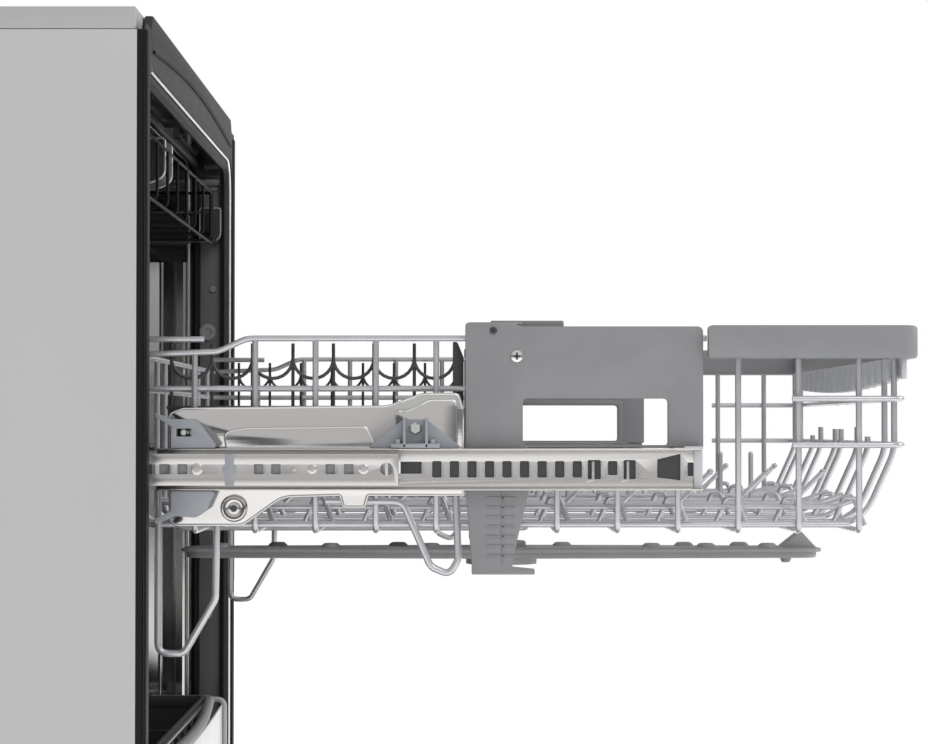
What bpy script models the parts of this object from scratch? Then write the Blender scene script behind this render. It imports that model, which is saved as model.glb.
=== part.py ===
"""A built-in dishwasher with its door open and its upper rack drawn out on its rails.

Metres, +Z up, the front faces -Y. Every piece hangs from the empty "flange_plane", which stands on
the floor in the plane of the tub's front flange; sizes below are measured from it. Left is -X.
"""
import math

import bmesh
import bpy
from mathutils import Matrix, Vector

# ---- sheet, wire and clearances
GAP = 0.0003                 # between pieces that touch
FIT = 0.0005                 # round a pin or a shaft that turns
SHEET = 0.001                # steel sheet
MOULDING = 0.003             # wall of a plastic moulding
WIRE = 0.0036                # rack wire

# ---- casing
CASE_WIDTH = 0.598
CASE_HEIGHT = 0.860
BODY_DEPTH = 0.560           # flange plane to the back of the rear panel
TOP_BAND = 0.014             # height of the lid's folded edge
FRAME_DEPTH = 0.004          # front trim, over the side panels' edges
FOOT_HEIGHT = 0.020
FOOT_RADIUS = 0.021
BASE_HEIGHT = 0.100
TOE_RECESS = 0.045           # base front behind the flange plane

# ---- tub
WALL_SPACE = 0.0145          # tub inside to casing outside, each side
ROOF_SPACE = 0.034           # tub inside to casing top
BACK_SPACE = 0.019           # tub inside to the back of the rear panel
TUB_CORNER = 0.025
TUB_FLANGE = 0.011
GASKET_RADIUS = 0.004

# ---- door
DOOR_THICKNESS = 0.058
DOOR_TOP_GAP = 0.010         # shut door below the casing top
DOOR_HEEL = 0.012            # door below its pivot
DOOR_INNER = 0.026           # inner face above the pivot, with the door open
PIVOT_DROP = 0.030           # pivot in front of the flange plane
PIVOT_HEIGHT = 0.135
PIN_RADIUS = 0.004
CONTROL_STRIP = 0.0245
BUTTON_TRAVEL = 0.0015
HANDLE_RADIUS = 0.007
HANDLE_REACH = 0.036
HANDLE_WIDTH = 0.460

# ---- upper rack and its rails
RACK_TRAVEL = 0.515
RACK_FRONT = -0.487          # front of the trim, rack drawn out
RACK_REAR = 0.0115
RAIL_ROOM = 0.0365           # side wires to the tub wall
RACK_FLOOR = 0.533
RACK_RIM = 0.656
RACK_LIFT = 0.045            # height adjustment
SIDE_PITCH = 0.0385          # between side wires
FIRST_SIDE_WIRE = -0.450
RAIL_Z = 0.57275
RAIL_HEIGHT = 0.0265
MID_RAIL_HEIGHT = 0.020
RAIL_WALL = 0.0010
RACK_RAIL = (-0.349, -0.004)     # front and back end, drawn out
MID_RAIL = (-0.157, 0.245)
FIXED_RAIL = (0.020, 0.420)
TRIM_HEIGHT = 0.021
TRIM_LOW = 0.643
TRIM_THICK = 0.010
TRIM_REACH = 0.134           # its sides run back this far
TRIM_STAND = 0.0145          # its outside beyond the side wires
ADJUSTER_BACK = -0.199
ADJUSTER_FRONT = -0.350
ADJUSTER_THICK = 0.006
ADJUSTER_RISE = 0.0074       # above the rack's rim
ADJUSTER_HUMP = 0.0026       # the taller part over the lever
ADJUSTER_LEG = 0.041         # width of the leg below the rail
ADJUSTER_DROP = 0.027        # foot of the leg under the rack's floor
WINDOW_HEIGHT = 0.030
WINDOW_BACK = 0.036          # from the adjuster's back edge
WINDOW_FRONT = 0.022         # from its front edge
RAIL_CLEAR = 0.0022          # window sill above the rail
LOOP_RADIUS = 0.00225
FRONT_LOOP = ((-0.129, 0), (-0.159, 0.004), (-0.177, 0.0225), (-0.189, 0.0275), (-0.194, 0.018), (-0.193, 0))
REAR_LOOP = ((-0.0035, 0), (-0.0035, 0.068), (-0.0095, 0.0775), (-0.018, 0.0775), (-0.022, 0.074),
             (-0.040, 0.043), (-0.041, 0))
PLATE_ENDS = (-0.198, -0.011)
PLATE_RISE = 0.025           # side plate above the rail
PLATE_DROP = 0.003           # and below it
PLATE_CREST = 0.009          # its raised front corner
PLATE_LOBE = 0.0195          # its deeper back corner
FRONT_BRACKET = (-0.194, -0.138)
REAR_BRACKET = (-0.042, -0.012)
ARM_LENGTH = 0.471
ARM_Y = -0.226
ARM_Z = 0.505
ARM_THICK = 0.008

# ---- lower rack
LOWER_ROOM = 0.0445          # floor of the rack to the tub wall
RIM_ROOM = 0.0225            # rim of the rack to the tub wall
LOWER_FLOOR = 0.218
LOWER_RIM = 0.372
LOWER_FRONT = 0.012
LOWER_DEPTH = 0.500
WHEEL_RADIUS = 0.0185
WHEEL_WIDTH = 0.010
AXLE_RADIUS = 0.003
BASKET_DEPTH = 0.062
BASKET_HEIGHT = 0.135
BASKET_ROOM = 0.006          # end of the basket to the middle of the rack's side wires
SUMP_RADIUS = 0.062
SUMP_Y = 0.150
POST_RADIUS = 0.014
LOWER_ARM_Y = 0.285
LOWER_ARM_LENGTH = 0.450

# ---- folding tines
TINE_HEIGHT = 0.044
TINE_PITCH = 0.045
TINE_ENDS = (-0.430, -0.030)

# ---- third rack
TRAY_ROOM = 0.0225           # tray to the tub wall
TRAY_DROP = 0.072            # tray floor under the tub roof
TRAY_HEIGHT = 0.042
TRAY_DEPTH = 0.480
TRAY_FRONT = 0.014
THIRD_RAIL_DROP = 0.057      # its rails under the tub roof
THIRD_RAIL_HEIGHT = 0.026

# ---- worked out from the sizes above
CASE_HALF = CASE_WIDTH / 2
TUB_HALF = CASE_HALF - WALL_SPACE
TUB_DEPTH = BODY_DEPTH - BACK_SPACE
TUB_TOP = CASE_HEIGHT - ROOF_SPACE
DOOR_LENGTH = CASE_HEIGHT - DOOR_TOP_GAP - PIVOT_HEIGHT + DOOR_HEEL
RACK_HALF = TUB_HALF - RAIL_ROOM
LOWER_HALF = TUB_HALF - LOWER_ROOM
LOWER_RIM_HALF = TUB_HALF - RIM_ROOM
BASKET_WIDTH = 2 * (LOWER_HALF - BASKET_ROOM)
TRAY_HALF = TUB_HALF - TRAY_ROOM
TRAY_FLOOR = TUB_TOP - TRAY_DROP
THIRD_RAIL_Z = TUB_TOP - THIRD_RAIL_DROP
TUB_FLOOR = PIVOT_HEIGHT + DOOR_INNER
DOOR_HALF = TUB_HALF + TUB_FLANGE
DOOR_OUTER = DOOR_INNER - DOOR_THICKNESS
DOOR_REACH = PIVOT_DROP + DOOR_LENGTH - DOOR_HEEL
FLANGE_Y = (DOOR_REACH - BODY_DEPTH) / 2
PIVOT = (0, -PIVOT_DROP, PIVOT_HEIGHT)
PANEL_TOP = CASE_HEIGHT - TOP_BAND - GAP
STRIP_START = DOOR_LENGTH - DOOR_HEEL - CONTROL_STRIP
ADJUSTER_IN = RACK_HALF + WIRE / 2 + 0.0007
ADJUSTER_OUT = ADJUSTER_IN + ADJUSTER_THICK
PLATE_IN = ADJUSTER_OUT + 0.0005
RAIL_IN = PLATE_IN + SHEET + GAP
RAIL_REACH = 0.0085          # how far a rail's flanges stand off its web
MID_IN = RAIL_IN + 0.0030
MID_OUT = MID_IN + 0.0115
FIXED_OUT = TUB_HALF - GAP
FIXED_IN = RAIL_IN + RAIL_REACH + 0.0015
ARM_PIVOT = (0, ARM_Y, ARM_Z)
AXLE_Z = TUB_FLOOR + GAP + WHEEL_RADIUS
WHEEL_IN = LOWER_HALF + 0.007
SIDES = {"left": -1, "right": 1}


def clear_scene():
    for old in list(bpy.data.objects):
        bpy.data.objects.remove(old, do_unlink=True)


def new_collection(name, parent):
    collection = bpy.data.collections.new(name)
    parent.children.link(collection)
    return collection


def material(name, colour, roughness, metallic=0.0):
    made = bpy.data.materials.new(name)
    made.use_nodes = True
    shader = made.node_tree.nodes["Principled BSDF"]
    shader.inputs["Base Color"].default_value = (*colour, 1.0)
    shader.inputs["Roughness"].default_value = roughness
    shader.inputs["Metallic"].default_value = metallic
    return made


def stainless(name):
    return material(name, (0.50, 0.48, 0.46), 0.28, 1.0)


def painted(name):
    return material(name, (0.48, 0.49, 0.49), 0.45, 0.0)


def grey_plastic(name):
    return material(name, (0.25, 0.255, 0.265), 0.45)


def dark_plastic(name):
    return material(name, (0.07, 0.07, 0.075), 0.5)


def coated_wire(name):
    return material(name, (0.48, 0.49, 0.51), 0.35)


def rubber(name):
    return material(name, (0.02, 0.02, 0.022), 0.7)


# ---- meshes

def box_mesh(low, high):
    size = [top - bottom for bottom, top in zip(low, high)]
    centre = [(top + bottom) / 2 for bottom, top in zip(low, high)]
    shape = bmesh.new()
    placed = Matrix.Translation(centre) @ Matrix.Diagonal((*size, 1))
    bmesh.ops.create_cube(shape, size=1.0, matrix=placed)
    return to_mesh(shape)


def rod_mesh(start, end, radius, sides=16):
    start = Vector(start)
    along = Vector(end) - start
    turn = along.to_track_quat("Z", "Y").to_matrix().to_4x4()
    shape = bmesh.new()
    placed = Matrix.Translation(start + along / 2) @ turn
    bmesh.ops.create_cone(shape, cap_ends=True, segments=sides, radius1=radius, radius2=radius,
                          depth=along.length, matrix=placed)
    return to_mesh(shape)


def tray_mesh(low, high, open_side):
    """A box as a surface, without the face that looks along open_side."""
    shape = bmesh.new()
    shape.from_mesh(box_mesh(low, high))
    missing = [face for face in shape.faces if face.normal.dot(Vector(open_side)) > 0.9]
    bmesh.ops.delete(shape, geom=missing, context="FACES")
    return to_mesh(shape)


def both(*meshes):
    """One mesh that holds several separate shapes."""
    shape = bmesh.new()
    for mesh in meshes:
        shape.from_mesh(mesh)
    return to_mesh(shape)


def to_mesh(shape):
    mesh = bpy.data.meshes.new("shape")
    shape.to_mesh(mesh)
    shape.free()
    return mesh


def curve_mesh(curve):
    """A mesh of a curve, with its caps welded on."""
    holder = bpy.data.objects.new("guide", curve)
    guides.objects.link(holder)
    bpy.context.view_layer.update()
    drawn = holder.evaluated_get(bpy.context.evaluated_depsgraph_get())
    mesh = bpy.data.meshes.new_from_object(drawn)
    bpy.data.objects.remove(holder, do_unlink=True)
    shape = bmesh.new()
    shape.from_mesh(mesh)
    bmesh.ops.remove_doubles(shape, verts=shape.verts, dist=0.00001)
    bmesh.ops.recalc_face_normals(shape, faces=shape.faces)
    return to_mesh(shape)


def path_mesh(points, radius, closed=False, resolution=1):
    """A bar bent along points."""
    curve = bpy.data.curves.new("path", "CURVE")
    curve.dimensions = "3D"
    curve.bevel_depth = radius
    curve.bevel_resolution = resolution
    curve.use_fill_caps = True
    spline = curve.splines.new("POLY")
    spline.points.add(len(points) - 1)
    for knot, point in zip(spline.points, points):
        knot.co = (*point, 1)
    spline.use_cyclic_u = closed
    return curve_mesh(curve)


def plate_mesh(outline, half_thickness, placed, holes=()):
    """A flat plate from outlines in its own XY plane, set in place by a matrix."""
    curve = bpy.data.curves.new("outline", "CURVE")
    curve.dimensions = "2D"
    curve.fill_mode = "BOTH"
    curve.extrude = half_thickness
    for loop in (outline, *holes):
        spline = curve.splines.new("POLY")
        spline.points.add(len(loop) - 1)
        for knot, point in zip(spline.points, loop):
            knot.co = (point[0], point[1], 0, 1)
        spline.use_cyclic_u = True
    mesh = curve_mesh(curve)
    mesh.transform(placed)
    return mesh


def side_plane(x):
    """Outlines given as (y, z) stand upright, square to X."""
    axes = Matrix(((0, 0, 1), (1, 0, 0), (0, 1, 0))).to_4x4()
    return Matrix.Translation((x, 0, 0)) @ axes


def front_plane(y):
    """Outlines given as (x, z) stand upright, square to Y."""
    axes = Matrix(((1, 0, 0), (0, 0, -1), (0, 1, 0))).to_4x4()
    return Matrix.Translation((0, y, 0)) @ axes


def level_plane(z):
    """Outlines given as (x, y) lie level."""
    return Matrix.Translation((0, 0, z))


def arc(centre, radius, start, end, steps):
    turns = [math.radians(start + (end - start) * step / steps) for step in range(steps + 1)]
    return [(centre[0] + radius * math.cos(turn), centre[1] + radius * math.sin(turn)) for turn in turns]


# ---- objects

def add_part(name, mesh, finish, pivot=(0, 0, 0)):
    """A piece of the dishwasher, with its origin at pivot."""
    mesh.transform(Matrix.Translation(-Vector(pivot)))
    mesh.materials.clear()
    mesh.materials.append(finish(name))
    piece = bpy.data.objects.new(name, mesh)
    piece.location = pivot
    piece.parent = flange_plane
    parts.objects.link(piece)
    return piece


def add_tool(piece, mesh, operation):
    """Join a mesh to a piece, or cut it away, by a Boolean modifier."""
    tool = bpy.data.objects.new(f"{piece.name}_tool", mesh)
    tool.parent = flange_plane
    tool.hide_render = True
    tool.display_type = "WIRE"
    guides.objects.link(tool)
    change = piece.modifiers.new(operation.lower(), "BOOLEAN")
    change.operation = operation
    change.object = tool


def join(piece, *meshes):
    for mesh in meshes:
        add_tool(piece, mesh, "UNION")


def cut(piece, *meshes):
    for mesh in meshes:
        add_tool(piece, mesh, "DIFFERENCE")


def thicken(piece, thickness, outwards=False):
    shell = piece.modifiers.new("sheet", "SOLIDIFY")
    shell.thickness = thickness
    shell.offset = 1.0 if outwards else -1.0
    shell.use_even_offset = True


def turned(name, profile, finish, centre, steps=24):
    """A turned piece: profile is (radius, height), down the outside first."""
    shape = bmesh.new()
    closed = profile[0] == profile[-1]
    corners = [shape.verts.new((radius, 0, height)) for radius, height in profile[:-1 if closed else None]]
    following = corners[1:] + corners[:1] if closed else corners[1:]
    for start, end in zip(corners, following):
        shape.edges.new((start, end))
    piece = add_part(name, to_mesh(shape), finish)
    piece.location = centre
    screw = piece.modifiers.new("turn", "SCREW")
    screw.steps = steps
    screw.render_steps = steps
    screw.use_merge_vertices = True
    screw.merge_threshold = 0.00001
    return piece


# ---- casing

def make_feet():
    spots = {
        "foot_front_left": (-0.255, 0.075),
        "foot_front_right": (0.255, 0.075),
        "foot_rear": (0, BODY_DEPTH - 0.050),
    }
    pad = 0.008
    for name, (x, y) in spots.items():
        profile = [(0, FOOT_HEIGHT - GAP), (0.006, FOOT_HEIGHT - GAP), (0.006, pad),
                   (FOOT_RADIUS, pad), (FOOT_RADIUS, 0), (0, 0)]
        turned(name, profile, dark_plastic, (x, y, 0), 16)


def make_base_pan():
    low = (-DOOR_HALF + GAP, TOE_RECESS, FOOT_HEIGHT)
    high = (DOOR_HALF - GAP, BODY_DEPTH - SHEET - GAP, FOOT_HEIGHT + BASE_HEIGHT)
    pan = add_part("base_pan", tray_mesh(low, high, (0, 0, 1)), dark_plastic)
    thicken(pan, MOULDING)


def make_side_panels():
    for side, sign in SIDES.items():
        faces = sorted((sign * CASE_HALF, sign * (CASE_HALF - SHEET)))
        low = (faces[0], FRAME_DEPTH + GAP, FOOT_HEIGHT)
        high = (faces[1], BODY_DEPTH - SHEET - GAP, PANEL_TOP)
        add_part(f"side_panel_{side}", box_mesh(low, high), painted)


def make_top_panel():
    low = (-CASE_HALF, 0, CASE_HEIGHT - TOP_BAND)
    high = (CASE_HALF, BODY_DEPTH, CASE_HEIGHT)
    lid = add_part("top_panel", tray_mesh(low, high, (0, 0, -1)), painted)
    thicken(lid, SHEET)


def make_rear_panel():
    low = (-CASE_HALF, BODY_DEPTH - SHEET, FOOT_HEIGHT)
    high = (CASE_HALF, BODY_DEPTH, PANEL_TOP)
    add_part("rear_panel", box_mesh(low, high), painted)


def make_front_frame():
    """Dark trim round the tub's flange, over the edges of the side panels."""
    outer = CASE_HALF
    inner = DOOR_HALF + 2 * GAP
    lintel = TUB_TOP + TUB_FLANGE + GAP
    foot = PIVOT_HEIGHT + 0.070
    outline = [(-outer, foot), (-outer, PANEL_TOP), (outer, PANEL_TOP), (outer, foot),
               (inner, foot), (inner, lintel), (-inner, lintel), (-inner, foot)]
    middle = FRAME_DEPTH / 2
    add_part("front_frame", plate_mesh(outline, middle, front_plane(middle)), dark_plastic)


def make_hinge_brackets():
    """Side plates with the pins that the door turns on."""
    thick = 0.0015
    inside = DOOR_HALF + GAP * 2
    ear = 0.012
    y, z = PIVOT[1], PIVOT[2]
    outline = [(y - ear, z - ear), (y - ear, z + ear), (0.010, z + 0.055), (0.090, z + 0.055),
               (0.090, z - 0.060), (0.030, z - 0.060)]
    for side, sign in SIDES.items():
        plane = side_plane(sign * (inside + thick / 2))
        bracket = add_part(f"hinge_bracket_{side}", plate_mesh(outline, thick / 2, plane), painted)
        pin = rod_mesh((sign * (inside + thick / 2), y, z), (sign * (DOOR_HALF - 0.008), y, z), PIN_RADIUS)
        join(bracket, pin)


# ---- tub

def tub_surface():
    """The tub's inner face, open at the front, with its corners rounded and a flange turned out."""
    low = (-TUB_HALF, 0, TUB_FLOOR)
    high = (TUB_HALF, TUB_DEPTH, TUB_TOP)
    shape = bmesh.new()
    shape.from_mesh(tray_mesh(low, high, (0, -1, 0)))
    corners = [edge for edge in shape.edges if not edge.is_boundary]
    bmesh.ops.bevel(shape, geom=corners, offset=TUB_CORNER, segments=4, profile=0.5, affect="EDGES")
    rim = [edge for edge in shape.edges if edge.is_boundary]
    turned_out = bmesh.ops.extrude_edge_only(shape, edges=rim)["geom"]
    middle = (TUB_FLOOR + TUB_TOP) / 2
    for corner in turned_out:
        if isinstance(corner, bmesh.types.BMVert):
            corner.co.x += math.copysign(TUB_FLANGE, corner.co.x)
            corner.co.z += math.copysign(TUB_FLANGE, corner.co.z - middle)
    bmesh.ops.recalc_face_normals(shape, faces=shape.faces)
    back = max(shape.faces, key=lambda face: face.calc_center_median().y)
    if back.normal.y < 0:
        bmesh.ops.reverse_faces(shape, faces=shape.faces)
    return to_mesh(shape)


def make_tub():
    tub = add_part("tub", tub_surface(), stainless)
    thicken(tub, SHEET, outwards=True)
    below = TUB_FLOOR - 0.010
    above = TUB_FLOOR + 0.010
    cut(tub, rod_mesh((0, SUMP_Y, below), (0, SUMP_Y, above), SUMP_RADIUS - 0.004, 32))
    cut(tub, rod_mesh((0, LOWER_ARM_Y, below), (0, LOWER_ARM_Y, above), POST_RADIUS + FIT))


def make_gasket():
    """A rubber bead inside the tub's mouth, up both sides and over the top."""
    seat = 0.0009
    side = TUB_HALF - GASKET_RADIUS - seat
    top = TUB_TOP - GASKET_RADIUS - seat
    bend = TUB_CORNER - GASKET_RADIUS - seat
    y = GASKET_RADIUS + 0.0006
    foot = TUB_FLOOR + TUB_CORNER + 0.005
    right = arc((side - bend, top - bend), bend, 0, 90, 5)
    left = arc((bend - side, top - bend), bend, 90, 180, 5)
    route = [(side, foot), *right, *left, (-side, foot)]
    add_part("door_gasket", path_mesh([(x, y, z) for x, z in route], GASKET_RADIUS), rubber)


def make_latch_strike():
    """The catch that the door's latch closes on, under the tub's ceiling."""
    roof = TUB_TOP - GAP
    front = 2 * GASKET_RADIUS + 0.0015
    plate = box_mesh((-0.018, front, roof - 0.003), (0.018, 0.034, roof))
    strike = add_part("latch_strike", plate, stainless)
    join(strike, box_mesh((-0.008, front + 0.001, roof - 0.013), (0.008, front + 0.006, roof - 0.002)))


def make_sump():
    """The well under the tub, its duct, and the post that feeds the lower spray arm."""
    top = TUB_FLOOR - SHEET - GAP
    bottom = FOOT_HEIGHT + MOULDING + 0.010
    wall = 0.004
    bore = SUMP_RADIUS - wall
    ledge = top - 0.004
    profile = [(bore, top), (SUMP_RADIUS + 0.012, top), (SUMP_RADIUS + 0.012, top - 0.004),
               (SUMP_RADIUS, top - 0.004), (SUMP_RADIUS, bottom), (0, bottom), (0, bottom + wall),
               (bore - 0.006, bottom + wall), (bore - 0.006, ledge), (bore, ledge), (bore, top)]
    sump = turned("sump", profile, dark_plastic, (0, SUMP_Y, 0), 32)
    duct_low = (-0.018, SUMP_Y + SUMP_RADIUS - 0.002, top - 0.030)
    duct_high = (0.018, LOWER_ARM_Y + 0.020, top - 0.002)
    join(sump, box_mesh(duct_low, duct_high))
    join(sump, rod_mesh((0, LOWER_ARM_Y, top - 0.010), (0, LOWER_ARM_Y, TUB_FLOOR + 0.036), POST_RADIUS))


def make_filter_cup():
    """A sieve cup that stands in the sump's mouth and locks with a quarter turn."""
    rim = SUMP_RADIUS - 0.004 - FIT * 2
    body = rim - 0.010
    seat = TUB_FLOOR - SHEET - GAP - 0.004 + GAP
    top = TUB_FLOOR + 0.0015
    foot = FOOT_HEIGHT + 0.040
    wall = 0.002
    profile = [(body - wall, top), (rim, top), (rim, seat), (body, seat), (body, foot), (0, foot),
               (0, foot + wall), (body - wall, foot + wall), (body - wall, top)]
    cup = turned("filter_cup", profile, grey_plastic, (0, SUMP_Y, 0), 24)
    bar_low = (-body, SUMP_Y - 0.003, top - 0.006)
    bar_high = (body, SUMP_Y + 0.003, top + 0.010)
    join(cup, box_mesh(bar_low, bar_high))


def make_pumps():
    z = FOOT_HEIGHT + MOULDING + 0.047
    start = SUMP_RADIUS + 0.0008
    wash = add_part("circulation_pump", rod_mesh((-start - 0.015, SUMP_Y, z), (-start - 0.150, SUMP_Y, z),
                                                 0.042, 24), dark_plastic)
    join(wash, rod_mesh((-start, SUMP_Y, z), (-start - 0.020, SUMP_Y, z), 0.018))
    drain = add_part("drain_pump", rod_mesh((start + 0.012, SUMP_Y, z), (start + 0.085, SUMP_Y, z),
                                            0.028, 20), dark_plastic)
    join(drain, rod_mesh((start, SUMP_Y, z), (start + 0.015, SUMP_Y, z), 0.012))


def make_feed_pipe():
    """The flat riser on the tub's back wall, the duct under its ceiling, and the top arm's post."""
    back = TUB_DEPTH - GAP
    front = back - 0.0087
    roof = TUB_TOP - GAP
    lower = roof - 0.007
    riser = box_mesh((-0.030, front, TUB_FLOOR + TUB_CORNER), (0.030, back, roof - TUB_CORNER))
    pipe = add_part("feed_pipe", riser, grey_plastic)
    bend = [(front, roof - TUB_CORNER - 0.010), (front, lower - 0.004), (LOWER_ARM_Y - 0.020, lower),
            (LOWER_ARM_Y - 0.020, roof), (back - TUB_CORNER, roof), (back, roof - TUB_CORNER),
            (back, roof - TUB_CORNER - 0.010)]
    join(pipe, plate_mesh(bend, 0.018, side_plane(0)))
    join(pipe, rod_mesh((0, LOWER_ARM_Y, roof - 0.003), (0, LOWER_ARM_Y, lower - 0.012), 0.008))


# ---- door

def door_box(x, along, above):
    """Corners of a box on the open door: along runs from the pivot to the free edge."""
    low = (x[0], PIVOT[1] - along[1], PIVOT[2] + above[0])
    high = (x[1], PIVOT[1] - along[0], PIVOT[2] + above[1])
    return low, high


def make_door_panels():
    end = STRIP_START - GAP
    low, high = door_box((-DOOR_HALF, DOOR_HALF), (-DOOR_HEEL, end), (DOOR_OUTER, -0.006))
    skin = add_part("door_outer_panel", tray_mesh(low, high, (0, 0, 1)), stainless, PIVOT)
    thicken(skin, SHEET)
    inset = SHEET + 2 * GAP
    low, high = door_box((-DOOR_HALF + inset, DOOR_HALF - inset), (inset - DOOR_HEEL, end - inset),
                         (DOOR_OUTER + SHEET + GAP, DOOR_INNER))
    liner = add_part("door_inner_panel", tray_mesh(low, high, (0, 0, -1)), stainless, PIVOT)
    thicken(liner, SHEET)
    across = DOOR_HALF + 0.01
    cut(liner, rod_mesh((-across, PIVOT[1], PIVOT[2]), (across, PIVOT[1], PIVOT[2]), PIN_RADIUS + FIT))


BUTTON_SPOTS = {
    "power_button": -0.200,
    "program_button": -0.060,
    "option_button": 0.060,
    "start_button": 0.200,
}
BUTTON_SIZE = (0.026, 0.006, 0.010)      # across, along the door, up


def make_control_strip():
    edge = STRIP_START + CONTROL_STRIP
    low, high = door_box((-DOOR_HALF, DOOR_HALF), (STRIP_START, edge), (DOOR_OUTER, DOOR_INNER))
    strip = add_part("control_panel", box_mesh(low, high), dark_plastic, PIVOT)
    width, deep, tall = BUTTON_SIZE
    for name, x in BUTTON_SPOTS.items():
        sides = (x - width / 2, x + width / 2)
        above = (-tall / 2, tall / 2)
        low, high = door_box(sides, (edge - deep - 0.0005, edge - 0.0005 + GAP), above)
        button = add_part(name, box_mesh(low, high), painted, (x, low[1], PIVOT[2]))
        room = FIT
        well_low, well_high = door_box((sides[0] - room, sides[1] + room),
                                       (edge - deep - BUTTON_TRAVEL - 0.0015, edge + 0.01),
                                       (above[0] - room, above[1] + room))
        cut(strip, box_mesh(well_low, well_high))


def make_handle():
    half = HANDLE_WIDTH / 2
    y = PIVOT[1] - (STRIP_START - 0.045)
    top = PIVOT[2] + DOOR_OUTER - GAP
    low = top - HANDLE_REACH
    bend = 0.012
    left = [(x - half + bend, z + low + bend) for x, z in arc((0, 0), bend, 180, 270, 3)]
    right = [(half - bend + x, z + low + bend) for x, z in arc((0, 0), bend, 270, 360, 3)]
    route = [(-half, top), *left, *right, (half, top)]
    add_part("door_handle", path_mesh([(x, y, z) for x, z in route], HANDLE_RADIUS), stainless, PIVOT)


DISPENSER_ALONG = (0.345, 0.465)
DISPENSER_HALF = 0.085
DISPENSER_RISE = 0.013


def make_dispenser():
    """The detergent cup with its sliding lid, and the rinse-aid cap beside it."""
    base = DOOR_INNER + GAP
    top = base + DISPENSER_RISE
    low, high = door_box((-DISPENSER_HALF, DISPENSER_HALF), DISPENSER_ALONG, (base, top))
    housing = add_part("dispenser_housing", box_mesh(low, high), grey_plastic, PIVOT)
    cup = (-0.070, -0.006)
    along = (DISPENSER_ALONG[1] - 0.058, DISPENSER_ALONG[1] - 0.008)
    cup_low, cup_high = door_box(cup, along, (base + 0.002, top + 0.01))
    cut(housing, box_mesh(cup_low, cup_high))
    lap = 0.003
    lid_low, lid_high = door_box((cup[0] - lap, cup[1] + lap), (along[0] - lap, along[1] + lap),
                                 (top + GAP, top + GAP + 0.003))
    lid = add_part("dispenser_lid", box_mesh(lid_low, lid_high), dark_plastic, PIVOT)
    grip_low, grip_high = door_box((-0.050, -0.026), (along[1] - 0.008, along[1] - 0.004),
                                   (top + GAP + 0.002, top + GAP + 0.006))
    join(lid, box_mesh(grip_low, grip_high))
    middle = (DISPENSER_ALONG[0] + DISPENSER_ALONG[1]) / 2
    centre = (0.040, PIVOT[1] - middle, PIVOT[2] + top + GAP)
    cap = add_part("rinse_aid_cap", rod_mesh(centre, (centre[0], centre[1], centre[2] + 0.004), 0.018, 24),
                   dark_plastic, centre)
    rib_low = (centre[0] - 0.014, centre[1] - 0.002, centre[2] + 0.003)
    rib_high = (centre[0] + 0.014, centre[1] + 0.002, centre[2] + 0.008)
    join(cap, box_mesh(rib_low, rib_high))


# ---- wire baskets

def basket_cage(columns, rows, floor_z, wall_levels):
    """A grid floor with gridded walls. wall_levels are (height, how far the wall leans out)."""
    shape = bmesh.new()
    bmesh.ops.create_grid(shape, x_segments=len(columns) - 1, y_segments=len(rows) - 1, size=1)
    for corner in shape.verts:
        column = round((corner.co.x + 1) / 2 * (len(columns) - 1))
        row = round((corner.co.y + 1) / 2 * (len(rows) - 1))
        corner.co = (columns[column], rows[row], floor_z)
    rim = [edge for edge in shape.edges if edge.is_boundary]
    leaned = 0
    for height, lean in wall_levels:
        grown = bmesh.ops.extrude_edge_only(shape, edges=rim)["geom"]
        rim = [edge for edge in grown if isinstance(edge, bmesh.types.BMEdge)]
        for corner in [vert for vert in grown if isinstance(vert, bmesh.types.BMVert)]:
            corner.co.z = height
            from_left = abs(corner.co.x - columns[0] + leaned)
            from_right = abs(corner.co.x - columns[-1] - leaned)
            if min(from_left, from_right) < 1e-5:
                corner.co.x += math.copysign(lean - leaned, corner.co.x)
        leaned = lean
    bmesh.ops.recalc_face_normals(shape, faces=shape.faces)
    return to_mesh(shape)


def even_steps(start, end, count):
    return [start + (end - start) * step / count for step in range(count + 1)]


def make_wires(piece, thickness):
    lattice = piece.modifiers.new("wires", "WIREFRAME")
    lattice.thickness = thickness
    lattice.offset = 0
    lattice.use_replace = True
    lattice.use_boundary = True
    lattice.use_even_offset = True
    lattice.use_relative_offset = False


# ---- upper rack

def make_upper_rack():
    front = RACK_FRONT + TRIM_THICK + WIRE / 2 + 0.0007
    wires = [FIRST_SIDE_WIRE + SIDE_PITCH * step for step in range(12)]
    rows = [front, *wires, RACK_REAR]
    columns = even_steps(-RACK_HALF, RACK_HALF, 6)
    cage = basket_cage(columns, rows, RACK_FLOOR, [(RACK_FLOOR + 0.090, 0), (RACK_RIM, 0)])
    rack = add_part("upper_rack", cage, coated_wire)
    make_wires(rack, WIRE)
    for sign in SIDES.values():
        for loop in (FRONT_LOOP, REAR_LOOP):
            x = sign * (RACK_HALF + SHEET / 2)
            join(rack, path_mesh([(x, y, RACK_FLOOR - drop) for y, drop in loop], LOOP_RADIUS))


def make_front_trim():
    """The grip round the rack's front corners."""
    outer = RACK_HALF + TRIM_STAND
    back = RACK_FRONT + TRIM_REACH
    bend = TRIM_THICK + 0.002
    inner = outer - TRIM_THICK
    corner_y = RACK_FRONT + bend
    outline = [(-outer, back), *arc((-outer + bend, corner_y), bend, 180, 270, 5),
               *arc((outer - bend, corner_y), bend, 270, 360, 5), (outer, back), (inner, back),
               *arc((outer - bend, corner_y), bend - TRIM_THICK, 360, 270, 5),
               *arc((-outer + bend, corner_y), bend - TRIM_THICK, 270, 180, 5), (-inner, back)]
    half = TRIM_HEIGHT / 2
    trim = plate_mesh(outline, half, level_plane(TRIM_LOW + half))
    add_part("rack_front_trim", trim, grey_plastic)


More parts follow.
